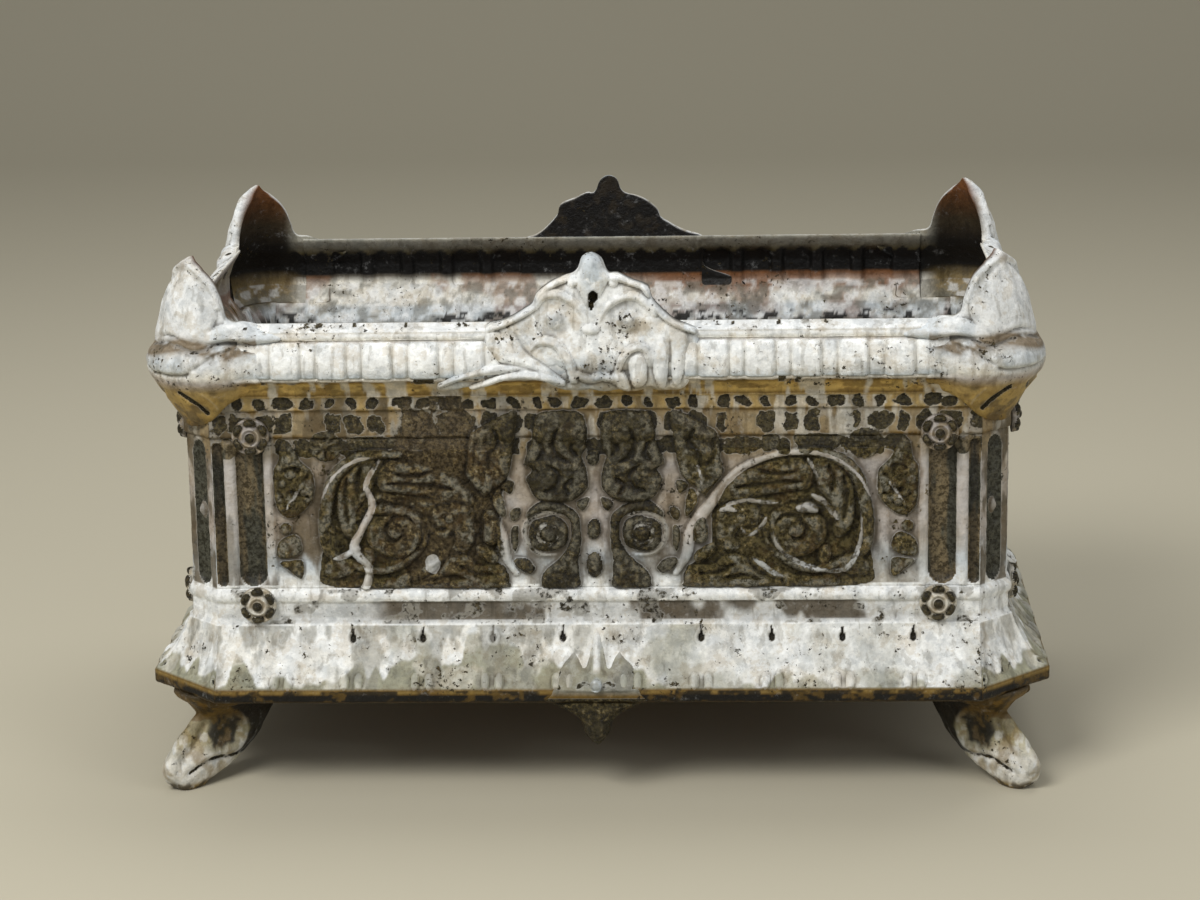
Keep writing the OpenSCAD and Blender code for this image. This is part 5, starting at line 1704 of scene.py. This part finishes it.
def plain_iron(name, base, second, rough=0.6):
    """Two mottled colours, for the hidden fixings and the bottom plate."""
    n = Nodes(name)
    mid, fine = n.noise(16, 7, 0.6), n.noise(5, 4)
    colour = n.mix(n.step(mid, 0.36, 0.66), base, second)
    n.fill(n.bsdf, Base_Color=n.mix(n.step(fine, 0.56, 0.8), colour, SHADE_AND_SOOT), Roughness=rough)
    n.bump(mid, 0.5, 0.0006)
    return n.mat


def matte(name, colour):
    """One dull colour."""
    n = Nodes(name)
    n.fill(n.bsdf, Base_Color=colour, Roughness=0.9, Specular_IOR_Level=0.1)
    return n.mat


# Studio

def camera():
    """The photograph's camera: long, from a little above and nearly square on."""
    data = bpy.data.cameras.new("camera")
    cam = show("camera", data)
    yaw, pitch, roll = (math.radians(a) for a in CAMERA_TURN)
    fwd = np.array([-math.sin(yaw) * math.cos(pitch), math.cos(yaw) * math.cos(pitch),
                    -math.sin(pitch)])
    level = np.array([math.cos(yaw), math.sin(yaw), 0.0])
    under = np.cross(fwd, level)
    right = math.cos(roll) * level + math.sin(roll) * under
    down = -math.sin(roll) * level + math.cos(roll) * under
    turned = np.column_stack([right, -down, -fwd, CAMERA_AT])
    cam.matrix_world = Matrix(turned.tolist() + [[0, 0, 0, 1]])
    data.sensor_width = 36.0
    data.lens = 92.95
    data.clip_start, data.clip_end = 0.1, 30.0
    bpy.context.scene.camera = cam


def lamp(name, at, aim, size, power, colour=(1, 1, 1)):
    """A flat lamp that looks from one place to another."""
    data = bpy.data.lights.new(name, "AREA")
    data.shape = "RECTANGLE"
    data.size, data.size_y = size
    data.energy = power
    data.color = colour
    obj = show(name, data)
    obj.location = at
    obj.rotation_mode = "QUATERNION"
    obj.rotation_quaternion = (Vector(aim) - Vector(at)).to_track_quat("-Z", "Y")


def floor_sheet():
    """A floor that runs up into a backdrop behind the object."""
    line = [(-6.0, 0.0), (2.0, 0.0), (3.0, 0.0)]
    line += [(3.0 + 2.0 * math.sin(a), 2.0 - 2.0 * math.cos(a))
             for a in np.linspace(0.1, math.pi / 2, 14)] + [(5.0, 7.0)]
    verts = [(x * 1000, y * 1000, z * 1000) for y, z in line for x in (-7.0, 7.0)]
    quads = [(2 * i, 2 * i + 1, 2 * i + 3, 2 * i + 2) for i in range(len(line) - 1)]
    return build("floor", verts, quads, material=matte("floor", linear("#B9B3A0")))


def world():
    """Even pale light from all around."""
    data = bpy.data.worlds.new("world")
    bpy.context.scene.world = data
    data.use_nodes = True
    back = data.node_tree.nodes["Background"]
    back.inputs[0].default_value = (0.86, 0.87, 0.88, 1)
    back.inputs[1].default_value = 0.36


def studio():
    """Camera, floor and lamps."""
    bpy.context.scene.view_settings.view_transform = "Standard"
    camera()
    world()
    floor_sheet()
    lamp("key", (-1.3, -1.9, 2.4), (0, 0, 0.2), (1.6, 1.2), 74, (1, 0.985, 0.96))
    lamp("fill", (2.2, -1.6, 1.2), (0, 0, 0.2), (1.4, 1.4), 14)
    lamp("top", (0.2, 0.8, 2.4), (0, 0, 0.3), (2.0, 1.2), 24)


# Putting it together

def fixings():
    """The hidden nodes keep their own shapes and get a plain material."""
    iron = plain_iron("rusty_iron", RUST * 0.8, BROWN)
    stud = plain_iron("painted_stud", BLUISH, GREY, 0.35)
    for name in ("rosette_nuts", "foot_bolts", "crest_screws", "pendant_screws", "bottom_plate"):
        node = frame["nodes"][name]
        material = stud if name == "pendant_screws" else iron
        for slot in node.material_slots:
            slot.material = material
        if not node.material_slots:
            node.data.materials.append(material)


def main():
    """The whole scene."""
    studio()
    paint = old_paint("old_paint")
    pieces = []
    for side in LONG_SIDES:
        pieces += wall(side, SEAM_X, long_relief, LOBES, EYELETS, RIM_HALF)
    for side in END_SIDES:
        pieces += wall(side, SEAM_Y, end_relief, END_LOBES, END_EYELETS, END_RIM_HALF)
    for name, (sx, sy) in CORNERS.items():
        pieces += corner(name + "_corner", sx, sy)
    for side in LONG_SIDES:
        pieces += rosettes(side, ROSETTE_AT)
    for side in END_SIDES:
        pieces += rosettes(side, END_ROSETTE_AT)
    for side in LONG_SIDES:
        pieces += [crest(side), pendant(side)]
    for piece in pieces:
        piece.data.materials.append(paint)
    feet(old_paint("foot_paint"))
    fixings()


main()
